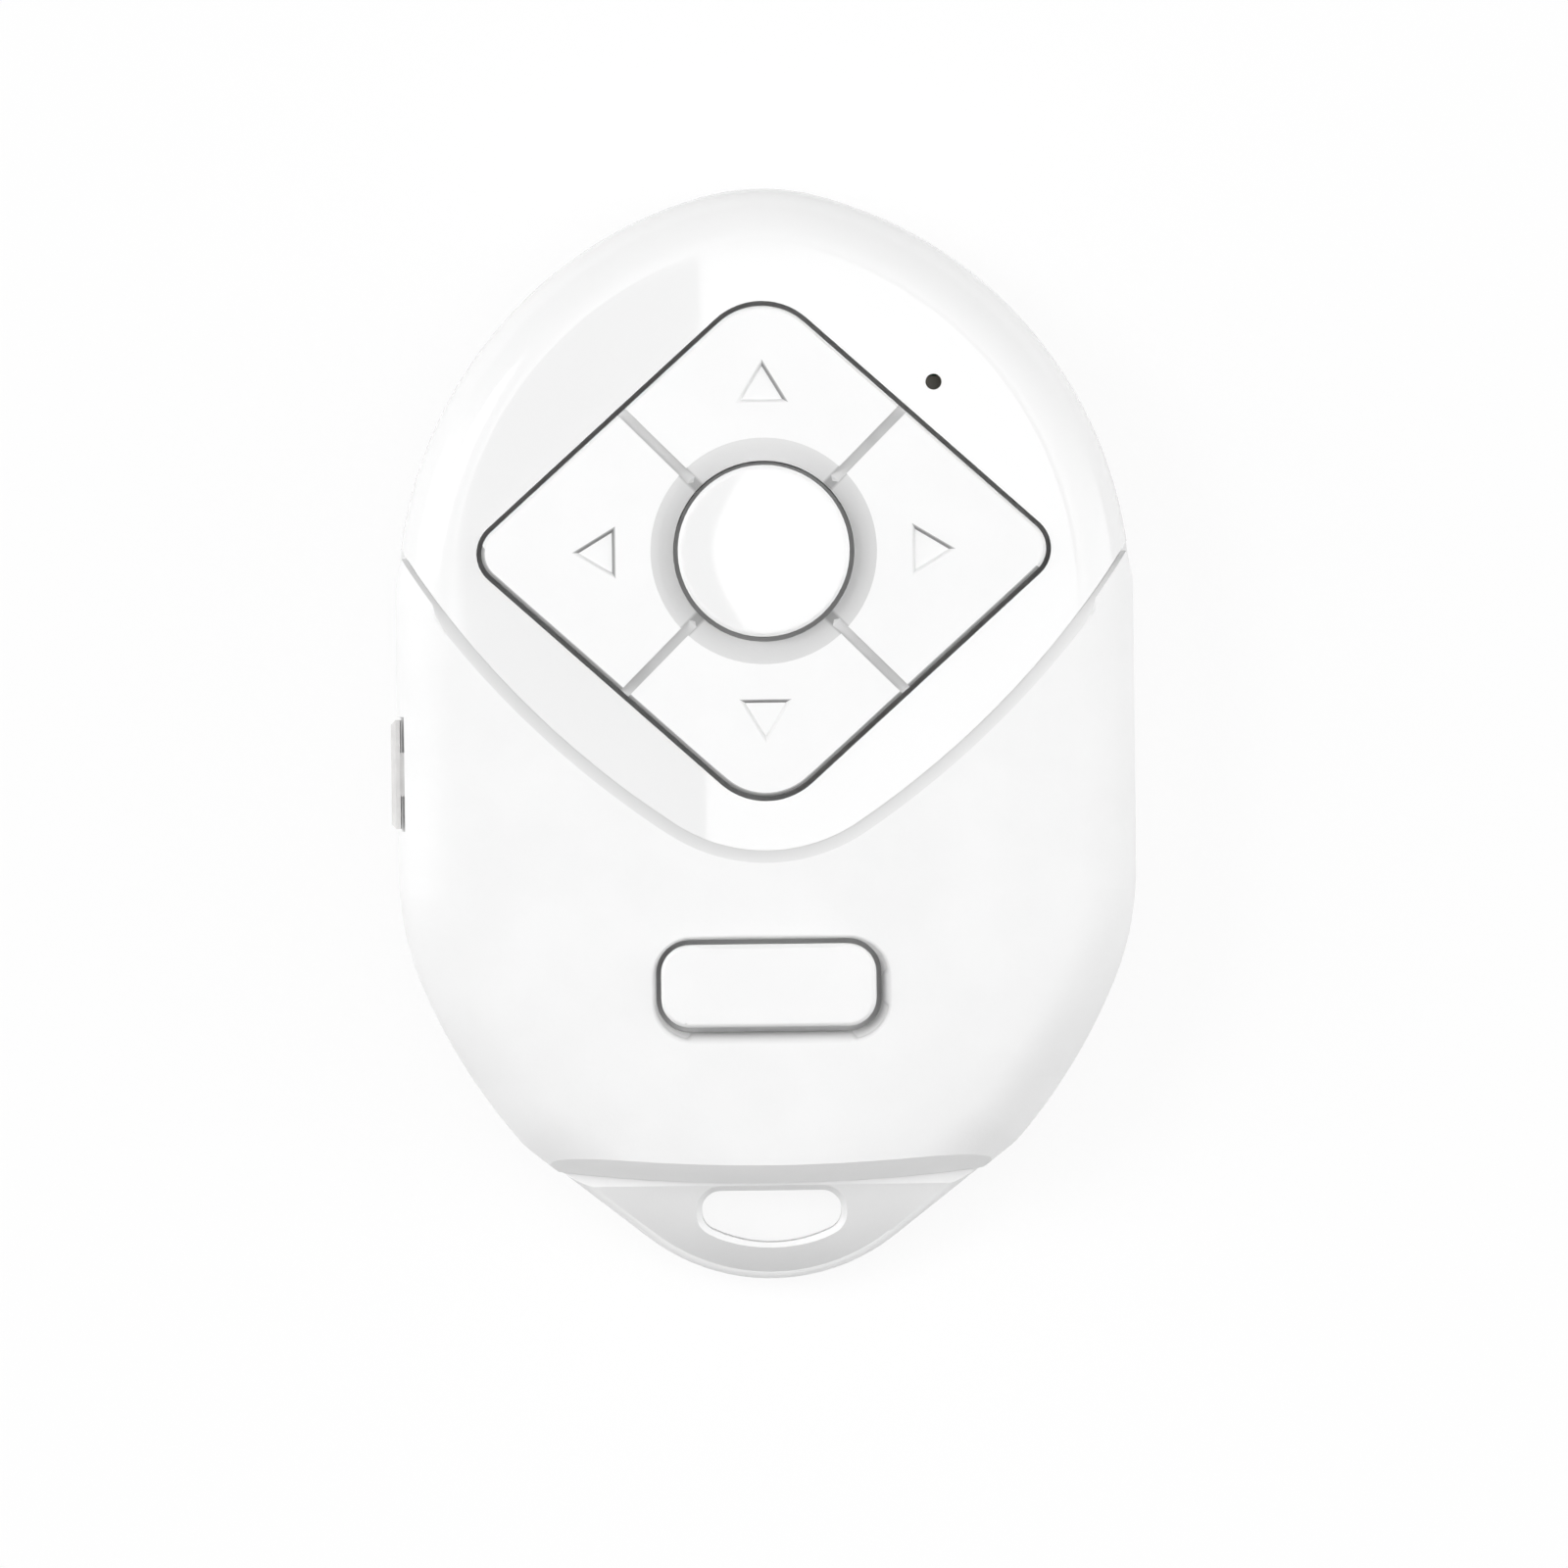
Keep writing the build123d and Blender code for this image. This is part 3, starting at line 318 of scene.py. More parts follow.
def masked_board():
    material = plastic(
        "board_mask", (0.1, 1, 0.3), (0.16, 0.2), (0.28, 0.36), 9000, 300, 0.002 * mm
    )
    nodes, links = material.node_tree.nodes, material.node_tree.links
    shader = nodes["Principled BSDF"]
    place = nodes["Texture Coordinate"]
    runs = nodes.new("ShaderNodeGroup")
    runs.node_tree = mask_group()
    over = nodes.new("ShaderNodeMix")
    over.data_type = "RGBA"
    over.inputs["B"].default_value = (0.06, 0.33, 0.12, 1)
    links.new(place.outputs["Object"], runs.inputs["Place"])
    links.new(runs.outputs["Run"], over.inputs["Factor"])
    links.new(nodes["Color Ramp"].outputs["Color"], over.inputs["A"])
    links.new(over.outputs["Result"], shader.inputs["Base Color"])
    return material


dress("circuit_board", masked_board())
board_top = 6.5 * mm

# Antenna and test pads: bare copper on the board, gold-flashed against tarnish. The antenna runs to
# and fro at the tongue end, and two rows of round pads serve the tester's pins.
gold_flash = metal("gold_flash", (1, 0.78, 0.42), (0.7, 0.85), (0.22, 0.38), drawn_marks, 12000)
dress("board_antenna", gold_flash)


def lathe(name, profile, steps):
    work = bmesh.new()
    rings = []
    for radius, height in profile:
        ring = []
        for step in range(steps):
            angle = 2 * math.pi * step / steps
            across, along = radius * math.cos(angle), radius * math.sin(angle)
            ring.append(work.verts.new((across, along, height)))
        rings.append(ring)
    for lower, upper in zip(rings, rings[1:]):
        for step in range(steps):
            after = (step + 1) % steps
            work.faces.new((lower[step], lower[after], upper[after], upper[step]))
    work.faces.new(list(reversed(rings[0])))
    work.faces.new(rings[-1])
    mesh = bpy.data.meshes.new(name)
    work.to_mesh(mesh)
    work.free()
    return mesh


# Geometry Nodes tree that sets copies of a piece out in rows and columns round a middle
def rows_tree(name, material):
    tree = bpy.data.node_groups.new(name, "GeometryNodeTree")
    tree.interface.new_socket("Geometry", in_out="INPUT", socket_type="NodeSocketGeometry")
    for label in ("Columns", "Rows"):
        tree.interface.new_socket(label, in_out="INPUT", socket_type="NodeSocketInt")
    for label in ("Column Span", "Row Span"):
        tree.interface.new_socket(label, in_out="INPUT", socket_type="NodeSocketFloat")
    tree.interface.new_socket("Middle", in_out="INPUT", socket_type="NodeSocketVector")
    tree.interface.new_socket("Geometry", in_out="OUTPUT", socket_type="NodeSocketGeometry")
    nodes, links = tree.nodes, tree.links
    given = nodes.new("NodeGroupInput")
    out = nodes.new("NodeGroupOutput")
    places = nodes.new("GeometryNodeMeshGrid")
    shift = nodes.new("GeometryNodeTransform")
    copies = nodes.new("GeometryNodeInstanceOnPoints")
    real = nodes.new("GeometryNodeRealizeInstances")
    coat = nodes.new("GeometryNodeSetMaterial")
    coat.inputs["Material"].default_value = material
    links.new(given.outputs["Columns"], places.inputs["Vertices X"])
    links.new(given.outputs["Rows"], places.inputs["Vertices Y"])
    links.new(given.outputs["Column Span"], places.inputs["Size X"])
    links.new(given.outputs["Row Span"], places.inputs["Size Y"])
    links.new(places.outputs["Mesh"], shift.inputs["Geometry"])
    links.new(given.outputs["Middle"], shift.inputs["Translation"])
    links.new(shift.outputs["Geometry"], copies.inputs["Points"])
    links.new(given.outputs["Geometry"], copies.inputs["Instance"])
    links.new(copies.outputs["Instances"], real.inputs["Geometry"])
    links.new(real.outputs["Geometry"], coat.inputs["Geometry"])
    links.new(coat.outputs["Geometry"], out.inputs["Geometry"])
    return tree


# Runs a tree on one copy's mesh and keeps the result as a plain mesh
def grown_piece(name, mesh, tree, sizes):
    piece = bpy.data.objects.new(name, mesh)
    bpy.context.scene.collection.objects.link(piece)
    modifier = piece.modifiers.new("rows", "NODES")
    modifier.node_group = tree
    for item in tree.interface.items_tree:
        if item.in_out == "INPUT" and item.name in sizes:
            modifier[item.identifier] = sizes[item.name]
    seen = piece.evaluated_get(bpy.context.evaluated_depsgraph_get())
    plain = bpy.data.meshes.new_from_object(seen)
    piece.modifiers.remove(modifier)
    piece.data = plain
    return piece


test_pad_radius = 0.45 * mm
test_pad_height = 0.03 * mm
pad_profile = [
    (test_pad_radius, 0),
    (test_pad_radius, test_pad_height * 0.6),
    (test_pad_radius * 0.93, test_pad_height),
    (test_pad_radius * 0.2, test_pad_height),
]
test_pads = grown_piece(
    "test_pads",
    lathe("test_pad", pad_profile, 24),
    rows_tree("tester_rows", gold_flash),
    {
        "Columns": 2,
        "Rows": 4,
        "Column Span": 1.8 * mm,
        "Row Span": 5.4 * mm,
        "Middle": (11.6 * mm, -6.0 * mm, board_top),
    },
)
soften(test_pads, 30)
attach(test_pads, "housing")

# Board screws: two slotted cheese heads in zinc-plated steel. They are driven into the case's posts
# and hold the board down on them.
zinc_steel = metal("zinc_steel", (0.95, 0.97, 1), (0.55, 0.68), (0.25, 0.4), turned_marks, 14000)
post_screws = smooth_copy("board_screws", "post_screws", zinc_steel)
stand_for(post_screws, "board_screws", "housing")

# Tact switches: six of them on the board, four under the pad and one under each button. Each has a
# black moulded base, a folded steel cover, an arched snap spring and a square plunger.
switch_resin = plastic(
    "switch_resin", (1, 1, 1.02), (0.03, 0.05), (0.4, 0.52), 9000, 400, 0.006 * mm
)
plunger_resin = plastic(
    "plunger_resin", (1, 0.55, 0.3), (0.16, 0.22), (0.36, 0.46), 9000, 500, 0.004 * mm
)
cover_steel = metal("cover_steel", (1, 0.98, 0.95), (0.6, 0.72), (0.22, 0.34), drawn_marks, 15000)
for key in ("centre", "lower", "up", "down", "left", "right"):
    dress(f"{key}_switch_base", switch_resin)
    dress(f"{key}_switch_cover", cover_steel)
    spring = smooth_copy(f"{key}_snap_spring", f"{key}_spring", cover_steel, 30)
    stand_for(spring, f"{key}_snap_spring", "housing")
    dress(f"{key}_plunger", plunger_resin)

# Power switch: a folded steel frame under the board's edge, and a black lever that slides in its
# slot and is held by the side knob's fork.
dress("power_switch_frame", cover_steel)
dress("power_switch_lever", switch_resin)

# Radio parts: a black epoxy chip with solder along its four sides, a crystal in a welded can, and
# six ceramic capacitors with tinned ends, all soldered between the pad and the lower button.
chip_epoxy = plastic("chip_epoxy", white, (0.025, 0.04), (0.5, 0.62), 14000, 700, 0.01 * mm)
dress("radio_chip", chip_epoxy)
can_nickel = metal("can_nickel", (1, 0.97, 0.9), (0.66, 0.78), (0.16, 0.26), drawn_marks, 9000)
welded_can = smooth_copy("timing_crystal", "welded_can", can_nickel)
stand_for(welded_can, "timing_crystal", "housing")
solder_tin = metal("solder_tin", (0.97, 0.98, 1), (0.62, 0.78), (0.14, 0.3), drawn_marks, 7000)


# Ring of rounded-square sections along X, closed at both ends
def bar_mesh(name, sections, rounding):
    work = bmesh.new()
    rings = []
    for x, half, foot, top in sections:
        soft = rounding * half
        ring = []
        for y, z in (
            (half - soft, foot),
            (half, foot + soft),
            (half, top - soft),
            (half - soft, top),
            (soft - half, top),
            (-half, top - soft),
            (-half, foot + soft),
            (soft - half, foot),
        ):
            ring.append(work.verts.new((x, y, z)))
        rings.append(ring)
    for lower, upper in zip(rings, rings[1:]):
        for step in range(8):
            after = (step + 1) % 8
            work.faces.new((lower[step], lower[after], upper[after], upper[step]))
    work.faces.new(list(reversed(rings[0])))
    work.faces.new(rings[-1])
    bmesh.ops.recalc_face_normals(work, faces=work.faces)
    mesh = bpy.data.meshes.new(name)
    work.to_mesh(mesh)
    work.free()
    return mesh


capacitor_rows = {
    "Columns": 3,
    "Rows": 2,
    "Column Span": 4.0 * mm,
    "Row Span": 1.5 * mm,
    "Middle": (-6.0 * mm, -8.0 * mm, board_top),
}
ceramic_tan = plastic(
    "ceramic_tan", (1, 0.72, 0.5), (0.28, 0.36), (0.34, 0.46), 12000, 900, 0.006 * mm
)
ceramic_sections = [
    (side * 0.3 * mm, 0.2 * mm, 0.02 * mm, 0.46 * mm)
    for side in (-1, 1)
]
ceramic_blocks = grown_piece(
    "ceramic_blocks",
    bar_mesh("ceramic_block", ceramic_sections, 0.12),
    rows_tree("ceramic_rows", ceramic_tan),
    capacitor_rows,
)
end_mesh = bmesh.new()
for side in (-1, 1):
    end_sections = [
        (side * 0.27 * mm, 0.245 * mm, 0, 0.49 * mm),
        (side * 0.46 * mm, 0.25 * mm, 0, 0.5 * mm),
        (side * 0.5 * mm, 0.21 * mm, 0.02 * mm, 0.47 * mm),
    ]
    end_mesh.from_mesh(bar_mesh("tinned_end", end_sections, 0.2))
tinned_pair = bpy.data.meshes.new("tinned_pair")
end_mesh.to_mesh(tinned_pair)
end_mesh.free()
tinned_ends = grown_piece(
    "tinned_ends",
    tinned_pair,
    rows_tree("tinned_rows", solder_tin),
    capacitor_rows,
)
for piece in (ceramic_blocks, tinned_ends):
    soften(piece, 40)
    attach(piece, "housing")
    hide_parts("chip_capacitors")


# Geometry Nodes tree that sets one copy per place along each of a square's four sides
def sides_tree(name, material):
    tree = bpy.data.node_groups.new(name, "GeometryNodeTree")
    tree.interface.new_socket("Geometry", in_out="INPUT", socket_type="NodeSocketGeometry")
    tree.interface.new_socket("Count", in_out="INPUT", socket_type="NodeSocketInt")
    tree.interface.new_socket("Start", in_out="INPUT", socket_type="NodeSocketVector")
    tree.interface.new_socket("Pitch", in_out="INPUT", socket_type="NodeSocketVector")
    tree.interface.new_socket("Middle", in_out="INPUT", socket_type="NodeSocketVector")
    tree.interface.new_socket("Geometry", in_out="OUTPUT", socket_type="NodeSocketGeometry")
    nodes, links = tree.nodes, tree.links
    given = nodes.new("NodeGroupInput")
    out = nodes.new("NodeGroupOutput")
    row = nodes.new("GeometryNodeMeshLine")
    one_side = nodes.new("GeometryNodeInstanceOnPoints")
    middle = nodes.new("GeometryNodePoints")
    middle.inputs["Count"].default_value = 4
    number = nodes.new("GeometryNodeInputIndex")
    quarter = nodes.new("ShaderNodeMath")
    quarter.operation = "MULTIPLY"
    quarter.inputs[1].default_value = math.pi / 2
    spin = nodes.new("ShaderNodeCombineXYZ")
    around = nodes.new("GeometryNodeInstanceOnPoints")
    real = nodes.new("GeometryNodeRealizeInstances")
    coat = nodes.new("GeometryNodeSetMaterial")
    coat.inputs["Material"].default_value = material
    links.new(given.outputs["Count"], row.inputs["Count"])
    links.new(given.outputs["Start"], row.inputs["Start Location"])
    links.new(given.outputs["Pitch"], row.inputs["Offset"])
    links.new(row.outputs["Mesh"], one_side.inputs["Points"])
    links.new(given.outputs["Geometry"], one_side.inputs["Instance"])
    links.new(given.outputs["Middle"], middle.inputs["Position"])
    links.new(number.outputs[0], quarter.inputs[0])
    links.new(quarter.outputs[0], spin.inputs["Z"])
    links.new(middle.outputs[0], around.inputs["Points"])
    links.new(one_side.outputs["Instances"], around.inputs["Instance"])
    links.new(spin.outputs[0], around.inputs["Rotation"])
    links.new(around.outputs["Instances"], real.inputs["Geometry"])
    links.new(real.outputs["Geometry"], coat.inputs["Geometry"])
    links.new(coat.outputs["Geometry"], out.inputs["Geometry"])
    return tree


land_count = 6
land_pitch = 0.55 * mm
chip_half = 2.0 * mm
land_sections = [
    (-0.02 * mm, 0.13 * mm, 0, 0.26 * mm),
    (0.06 * mm, 0.13 * mm, 0, 0.15 * mm),
    (0.16 * mm, 0.12 * mm, 0, 0.07 * mm),
    (0.28 * mm, 0.1 * mm, 0, 0.025 * mm),
]
chip_solder = grown_piece(
    "chip_solder",
    bar_mesh("solder_fillet", land_sections, 0.1),
    sides_tree("solder_sides", solder_tin),
    {
        "Count": land_count,
        "Start": (chip_half, -land_pitch * (land_count - 1) / 2, 0),
        "Pitch": (0, land_pitch, 0),
        "Middle": (0, -8.0 * mm, board_top),
    },
)
soften(chip_solder, 40)
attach(chip_solder, "housing")

# Indicator light: a small body of cream epoxy, soldered to the board right under its hole in the
# fascia.
lamp_epoxy = plastic("lamp_epoxy", (1, 0.9, 0.62), (0.5, 0.62), (0.2, 0.3), 7000, 600, 0.003 * mm)
dress("status_light", lamp_epoxy)

# Cushion: a sheet of grey silicone rubber between the pad and its four switches, cut square with a
# round hole for the centre button.
silicone_grey = plastic(
    "silicone_grey", (0.98, 0.99, 1), (0.34, 0.42), (0.5, 0.62), 6000, 260, 0.008 * mm
)
cushion_sheet = smooth_copy("pad_cushion", "cushion_sheet", silicone_grey)
stand_for(cushion_sheet, "pad_cushion", "pad_cushion")

# Front fascia: the glossy domed shell round the pad, from the same white plastic but polished in
# the tool. Its sunk lip runs on under the cover, where it is welded.
dome_radius = 300 * mm
dome_top = 11 * mm
pad_middle = 10.04
dome_middle = Vector((0, pad_middle * mm, dome_top - dome_radius))


# Corners on the dome get the dome's own normal, so that reflections run true. On a sloped edge the
# normals turn on from the dome's to nearly upright, so that the edge looks rounded over.
def polish_dome(piece, rise):
    mesh = piece.data
    shading = corner_shading(mesh)
    spots = np.empty(len(mesh.vertices) * 3)
    mesh.vertices.foreach_get("co", spots)
    outward = spots.reshape(-1, 3) - np.array(dome_middle)
    reach = np.linalg.norm(outward, axis=1)
    outward /= reach[:, None]
    on_dome = abs(reach - dome_radius - rise) < 0.004 * mm
    for face in mesh.polygons:
        corners = list(face.vertices)
        facing = float(np.dot(outward[corners[0]], face.normal))
        if facing > 0.998 and on_dome[corners].all():
            shading[face.loop_start : face.loop_start + face.loop_total] = outward[corners]
        elif 0.68 < facing < 0.74 and on_dome[corners].any():
            slope = np.array(face.normal)
            for loop, corner in enumerate(corners, face.loop_start):
                upward = outward[corner]
                turned = 2 * np.dot(slope, upward) * slope - upward
                shading[loop] = upward if on_dome[corner] else 0.25 * upward + 0.75 * turned
                shading[loop] /= np.linalg.norm(shading[loop])
    mesh.normals_split_custom_set(shading.tolist())


fascia_gloss = plastic("fascia_gloss", white, (0.87, 0.88), (0.015, 0.025), 500, 60, 0.00002 * mm)
fascia_shell = smooth_copy("front_fascia", "fascia_shell", fascia_gloss)
polish_dome(fascia_shell, 0)
stand_for(fascia_shell, "front_fascia", "housing")


# Front cover: the matte lower half of the front, spark-eroded to a fine grain. It stands a little
# proud of the fascia and holds the lower button in its sunk opening, where shade is painted into
# the white.
# Depth below a dome, which sets how much painted shade a sunk place gets
def depth_group():
    group = bpy.data.node_groups.new("depth_below_dome", "ShaderNodeTree")
    group.interface.new_socket("Place", in_out="INPUT", socket_type="NodeSocketVector")
    for label in ("Dome Radius", "Shallow", "Deep"):
        group.interface.new_socket(label, in_out="INPUT", socket_type="NodeSocketFloat")
    group.interface.new_socket("Depth", in_out="OUTPUT", socket_type="NodeSocketFloat")
    nodes, links = group.nodes, group.links
    given = nodes.new("NodeGroupInput")
    out = nodes.new("NodeGroupOutput")
    away = nodes.new("ShaderNodeVectorMath")
    away.operation = "DISTANCE"
    away.inputs[1].default_value = dome_middle
    below = nodes.new("ShaderNodeMath")
    below.operation = "SUBTRACT"
    share = nodes.new("ShaderNodeMapRange")
    links.new(given.outputs["Place"], away.inputs[0])
    links.new(given.outputs["Dome Radius"], below.inputs[0])
    links.new(away.outputs["Value"], below.inputs[1])
    links.new(below.outputs[0], share.inputs["Value"])
    links.new(given.outputs["Shallow"], share.inputs["From Min"])
    links.new(given.outputs["Deep"], share.inputs["From Max"])
    links.new(share.outputs["Result"], out.inputs["Depth"])
    return group


depth_below_dome = depth_group()


# Painted shade of a sunk place: the moulded white is painted darker between two depths below a dome
def painted_shade_plastic(name, tone, rise, shallow, deep):
    material = plastic(name, white, (0.87, 0.9), (0.5, 0.6), 5200, 200, 0.008 * mm)
    nodes, links = material.node_tree.nodes, material.node_tree.links
    depth = nodes.new("ShaderNodeGroup")
    depth.node_tree = depth_below_dome
    depth.inputs["Dome Radius"].default_value = dome_radius + rise * mm
    depth.inputs["Shallow"].default_value = shallow * mm
    depth.inputs["Deep"].default_value = deep * mm
    painted_darkening = nodes.new("ShaderNodeMix")
    painted_darkening.data_type = "RGBA"
    painted_darkening.inputs["B"].default_value = (tone, tone, tone, 1)
    links.new(nodes["Texture Coordinate"].outputs["Object"], depth.inputs["Place"])
    links.new(depth.outputs["Depth"], painted_darkening.inputs["Factor"])
    links.new(nodes["Color Ramp"].outputs["Color"], painted_darkening.inputs["A"])
    links.new(painted_darkening.outputs["Result"], nodes["Principled BSDF"].inputs["Base Color"])
    return material


# Gives the chosen faces of a piece a material of their own, each of which here carries painted
# shade
def paint_shade_on(piece, material, chosen):
    piece.data.materials.append(material)
    number = len(piece.data.materials) - 1
    for face in piece.data.polygons:
        spot = face.center - dome_middle
        if chosen(face, face.center / mm, (spot.length - dome_radius) / mm):
            face.material_index = number


cover_rise = 0.25
cover_matte = plastic("cover_matte", white, (0.87, 0.9), (0.5, 0.6), 5200, 160, 0.008 * mm)
cover_half_width = 20.2 * mm
cover_length = 25.7 * mm
cover_start = -2 * mm
roll_start = 0.8
roll_depth = -0.017


# One step of a sum in a material or in the room, with numbers or other nodes' outputs as its parts
def reckon(tree, operation, first, second=0.0):
    both = tree.nodes.new("ShaderNodeMath")
    both.operation = operation
    for place, value in enumerate((first, second)):
        if isinstance(value, (int, float)):
            both.inputs[place].default_value = value
        else:
            tree.links.new(value, both.inputs[place])
    return both.outputs[0]


def object_place(tree):
    parts = tree.nodes.new("ShaderNodeSeparateXYZ")
    tree.links.new(tree.nodes["Texture Coordinate"].outputs["Object"], parts.inputs[0])
    return parts.outputs["X"], parts.outputs["Y"]


# The cover's face rolls off over its last four millimetres towards the lower outline
def roll_off(material):
    tree = material.node_tree
    nodes, links = tree.nodes, tree.links
    sideways, lengthways = object_place(tree)
    across = reckon(tree, "DIVIDE", sideways, cover_half_width)
    below = reckon(tree, "DIVIDE", reckon(tree, "SUBTRACT", cover_start, lengthways), cover_length)
    below = reckon(tree, "MAXIMUM", below, 0.0)
    squares = [reckon(tree, "MULTIPLY", part, part) for part in (across, below)]
    reach = reckon(tree, "SQRT", reckon(tree, "ADD", *squares))
    past = reckon(tree, "MAXIMUM", reckon(tree, "SUBTRACT", reach, roll_start), 0.0)
    share = reckon(tree, "MULTIPLY", reckon(tree, "SUBTRACT", below, 0.26), 2.5)
    share = reckon(tree, "MINIMUM", reckon(tree, "MAXIMUM", share, 0.0), 1.0)
    drop = reckon(tree, "MULTIPLY", reckon(tree, "MULTIPLY", past, past), share)
    rolled = nodes.new("ShaderNodeBump")
    rolled.inputs["Strength"].default_value = 1.0
    rolled.inputs["Distance"].default_value = roll_depth
    links.new(drop, rolled.inputs["Height"])
    links.new(nodes["Bump"].outputs["Normal"], rolled.inputs["Normal"])
    links.new(rolled.outputs["Normal"], nodes["Principled BSDF"].inputs["Normal"])


roll_off(cover_matte)
# Painted shade: the moat round the lower button and the seam's broken edge are painted darker the
# deeper they lie
moat_painted_shade = painted_shade_plastic("moat_painted_shade", 0.4, cover_rise, 0.0, 0.6)
seam_painted_shade = painted_shade_plastic("seam_painted_shade", 0.66, cover_rise, -0.3, 0.32)
cover_shell = smooth_copy("front_cover", "cover_shell", cover_matte)
lower_key_y = -13.74
seam_roll = 0.33
joint_cover = 0.045


def in_moat(face, spot, height):
    near_key = abs(spot.x) < 8 and abs(spot.y - lower_key_y) < 4.5
    return near_key and face.normal.z > 0.3 and height < cover_rise - 0.02


def on_seam(face, spot, height):
    facing = face.normal
    at_end = abs(spot.x) > 17 and height < -0.15 and facing.y > 0.4 and facing.z > 0.05
    inward = facing.y > 0.1 and facing.x * spot.x < 0.001
    on_top = inward and cover_rise - 0.5 < height < cover_rise - 0.02
    return spot.y > -7 and (on_top or at_end)


# The broken edge of the step at the seam is rolled out wider and covers the joint's thin gap
def widen_seam(piece):
    seam = []
    for face in piece.data.polygons:
        height = ((face.center - dome_middle).length - dome_radius) / mm
        if on_seam(face, face.center / mm, height):
            seam.append(face)
    slopes = {}
    for face in seam:
        level = Vector((face.normal.x, face.normal.y, 0)).normalized()
        for corner in face.vertices:
            slopes.setdefault(corner, []).append(level)
    for corner, levels in slopes.items():
        spot = piece.data.vertices[corner].co
        level = sum(levels, Vector()).normalized()
        upper = (spot - dome_middle).length > dome_radius + (cover_rise - 0.1) * mm
        fade = min(1.0, max(0.0, (18.7 - abs(spot.x) / mm) / 1.5))
        spot -= level * (seam_roll * fade if upper else -joint_cover) * mm
        if upper:
            span = (spot.xy - dome_middle.xy).length
            spot.z = dome_middle.z + math.sqrt((dome_radius + cover_rise * mm) ** 2 - span**2)


paint_shade_on(cover_shell, moat_painted_shade, in_moat)
paint_shade_on(cover_shell, seam_painted_shade, on_seam)
widen_seam(cover_shell)
polish_dome(cover_shell, cover_rise * mm)
roll_end(cover_shell)
stand_for(cover_shell, "front_cover", "housing")

# Four-way pad and lower button: keys moulded in white polycarbonate with a satin face, so that a
# thumb feels them against the gloss. Both are held by flanges under the shells.
pad_rise = 0.35
groove_half = 0.3
groove_blur = 0.12
dish_reach = 6.3
dish_lean = 14
key_satin = plastic("key_satin", white, (0.89, 0.91), (0.4, 0.46), 6500, 200, 0.004 * mm)
# Painted shade on the pad: the dish, the arrows' walls and the grooves are painted darker than the
# satin face
dish_painted_shade = painted_shade_plastic("dish_painted_shade", 0.68, pad_rise, -1.2, 1.0)
arrow_wall_painted_shade = painted_shade_plastic("arrow_wall_painted_shade", 0.84, pad_rise, -0.1, 0.1)
upper_arrow_wall_painted_shade = painted_shade_plastic("upper_arrow_wall_painted_shade", 0.3, pad_rise, -0.1, 0.1)
# Groove faces are plastic of a darker tone: painted shade in the grooves
groove_painted_shade = plastic("groove_painted_shade", white, (0.64, 0.72), (0.6, 0.7), 5200, 400, 0.008 * mm)
pad_key = smooth_copy("direction_pad", "pad_key", key_satin)


# The grooves' shade is painted on through the dish to the button's gap, with a mask of the distance
# from their lines
def paint_groove_shade_on(material):
    tree = material.node_tree
    nodes, links = tree.nodes, tree.links
    sideways, lengthways = object_place(tree)
    across = reckon(tree, "ABSOLUTE", sideways)
    along = reckon(tree, "ABSOLUTE", reckon(tree, "SUBTRACT", lengthways, pad_middle * mm))
    away = reckon(tree, "ABSOLUTE", reckon(tree, "SUBTRACT", across, along))
    line = nodes.new("ShaderNodeMapRange")
    line.inputs["From Min"].default_value = (groove_half * math.sqrt(2) - groove_blur) * mm
    line.inputs["From Max"].default_value = (groove_half * math.sqrt(2) + groove_blur) * mm
    line.inputs["To Min"].default_value = 1.0
    line.inputs["To Max"].default_value = 0.0
    links.new(away, line.inputs["Value"])
    painted_groove_shade = nodes.new("ShaderNodeMix")
    painted_groove_shade.data_type = "RGBA"
    painted_groove_shade.inputs["B"].default_value = (0.4, 0.4, 0.4, 1)
    links.new(line.outputs["Result"], painted_groove_shade.inputs["Factor"])
    links.new(nodes["Mix"].outputs["Result"], painted_groove_shade.inputs["A"])
    links.new(painted_groove_shade.outputs["Result"], nodes["Principled BSDF"].inputs["Base Color"])


paint_groove_shade_on(dish_painted_shade)


def near_dish(spot):
    return math.hypot(spot.x, spot.y - pad_middle) < dish_reach


def in_dish(face, spot, height):
    return near_dish(spot) and 0.7 < face.normal.z < 0.9 and height < pad_rise


# Normal of a place on the pad or its button that leans away from their middle
def lean_out(spot, reach, lean):
    across, along = spot.x / reach, (spot.y - pad_middle) / reach
    return across * math.sin(lean), along * math.sin(lean), math.cos(lean)


# The dish, the first of the pad's painted-shade materials, is shaded as a low roll round the button
def roll_dish(piece):
    mesh = piece.data
    shading = corner_shading(mesh)
    for face in mesh.polygons:
        if face.material_index != 1:
            continue
        for loop, corner in enumerate(face.vertices, face.loop_start):
            spot = mesh.vertices[corner].co / mm
            reach = math.hypot(spot.x, spot.y - pad_middle)
            shading[loop] = lean_out(spot, reach, math.radians(dish_lean))
    mesh.normals_split_custom_set(shading.tolist())


def in_groove(face, spot, height):
    across = (spot.y - pad_middle + spot.x, spot.y - pad_middle - spot.x)
    near_line = min(abs(across[0]), abs(across[1])) < groove_half * math.sqrt(2)
    return near_line and pad_rise - 0.55 < height < pad_rise - 0.01 and spot.z > 9


def on_arrow_wall(face, spot, height):
    return 0.6 < face.normal.z < 0.8 and pad_rise - 0.2 < height < pad_rise and not near_dish(spot)


# The arrows' walls that face down and to the left get the darkest painted shade
def on_upper_wall(face, spot, height):
    return on_arrow_wall(face, spot, height) and 2 * face.normal.y + face.normal.x < -0.4


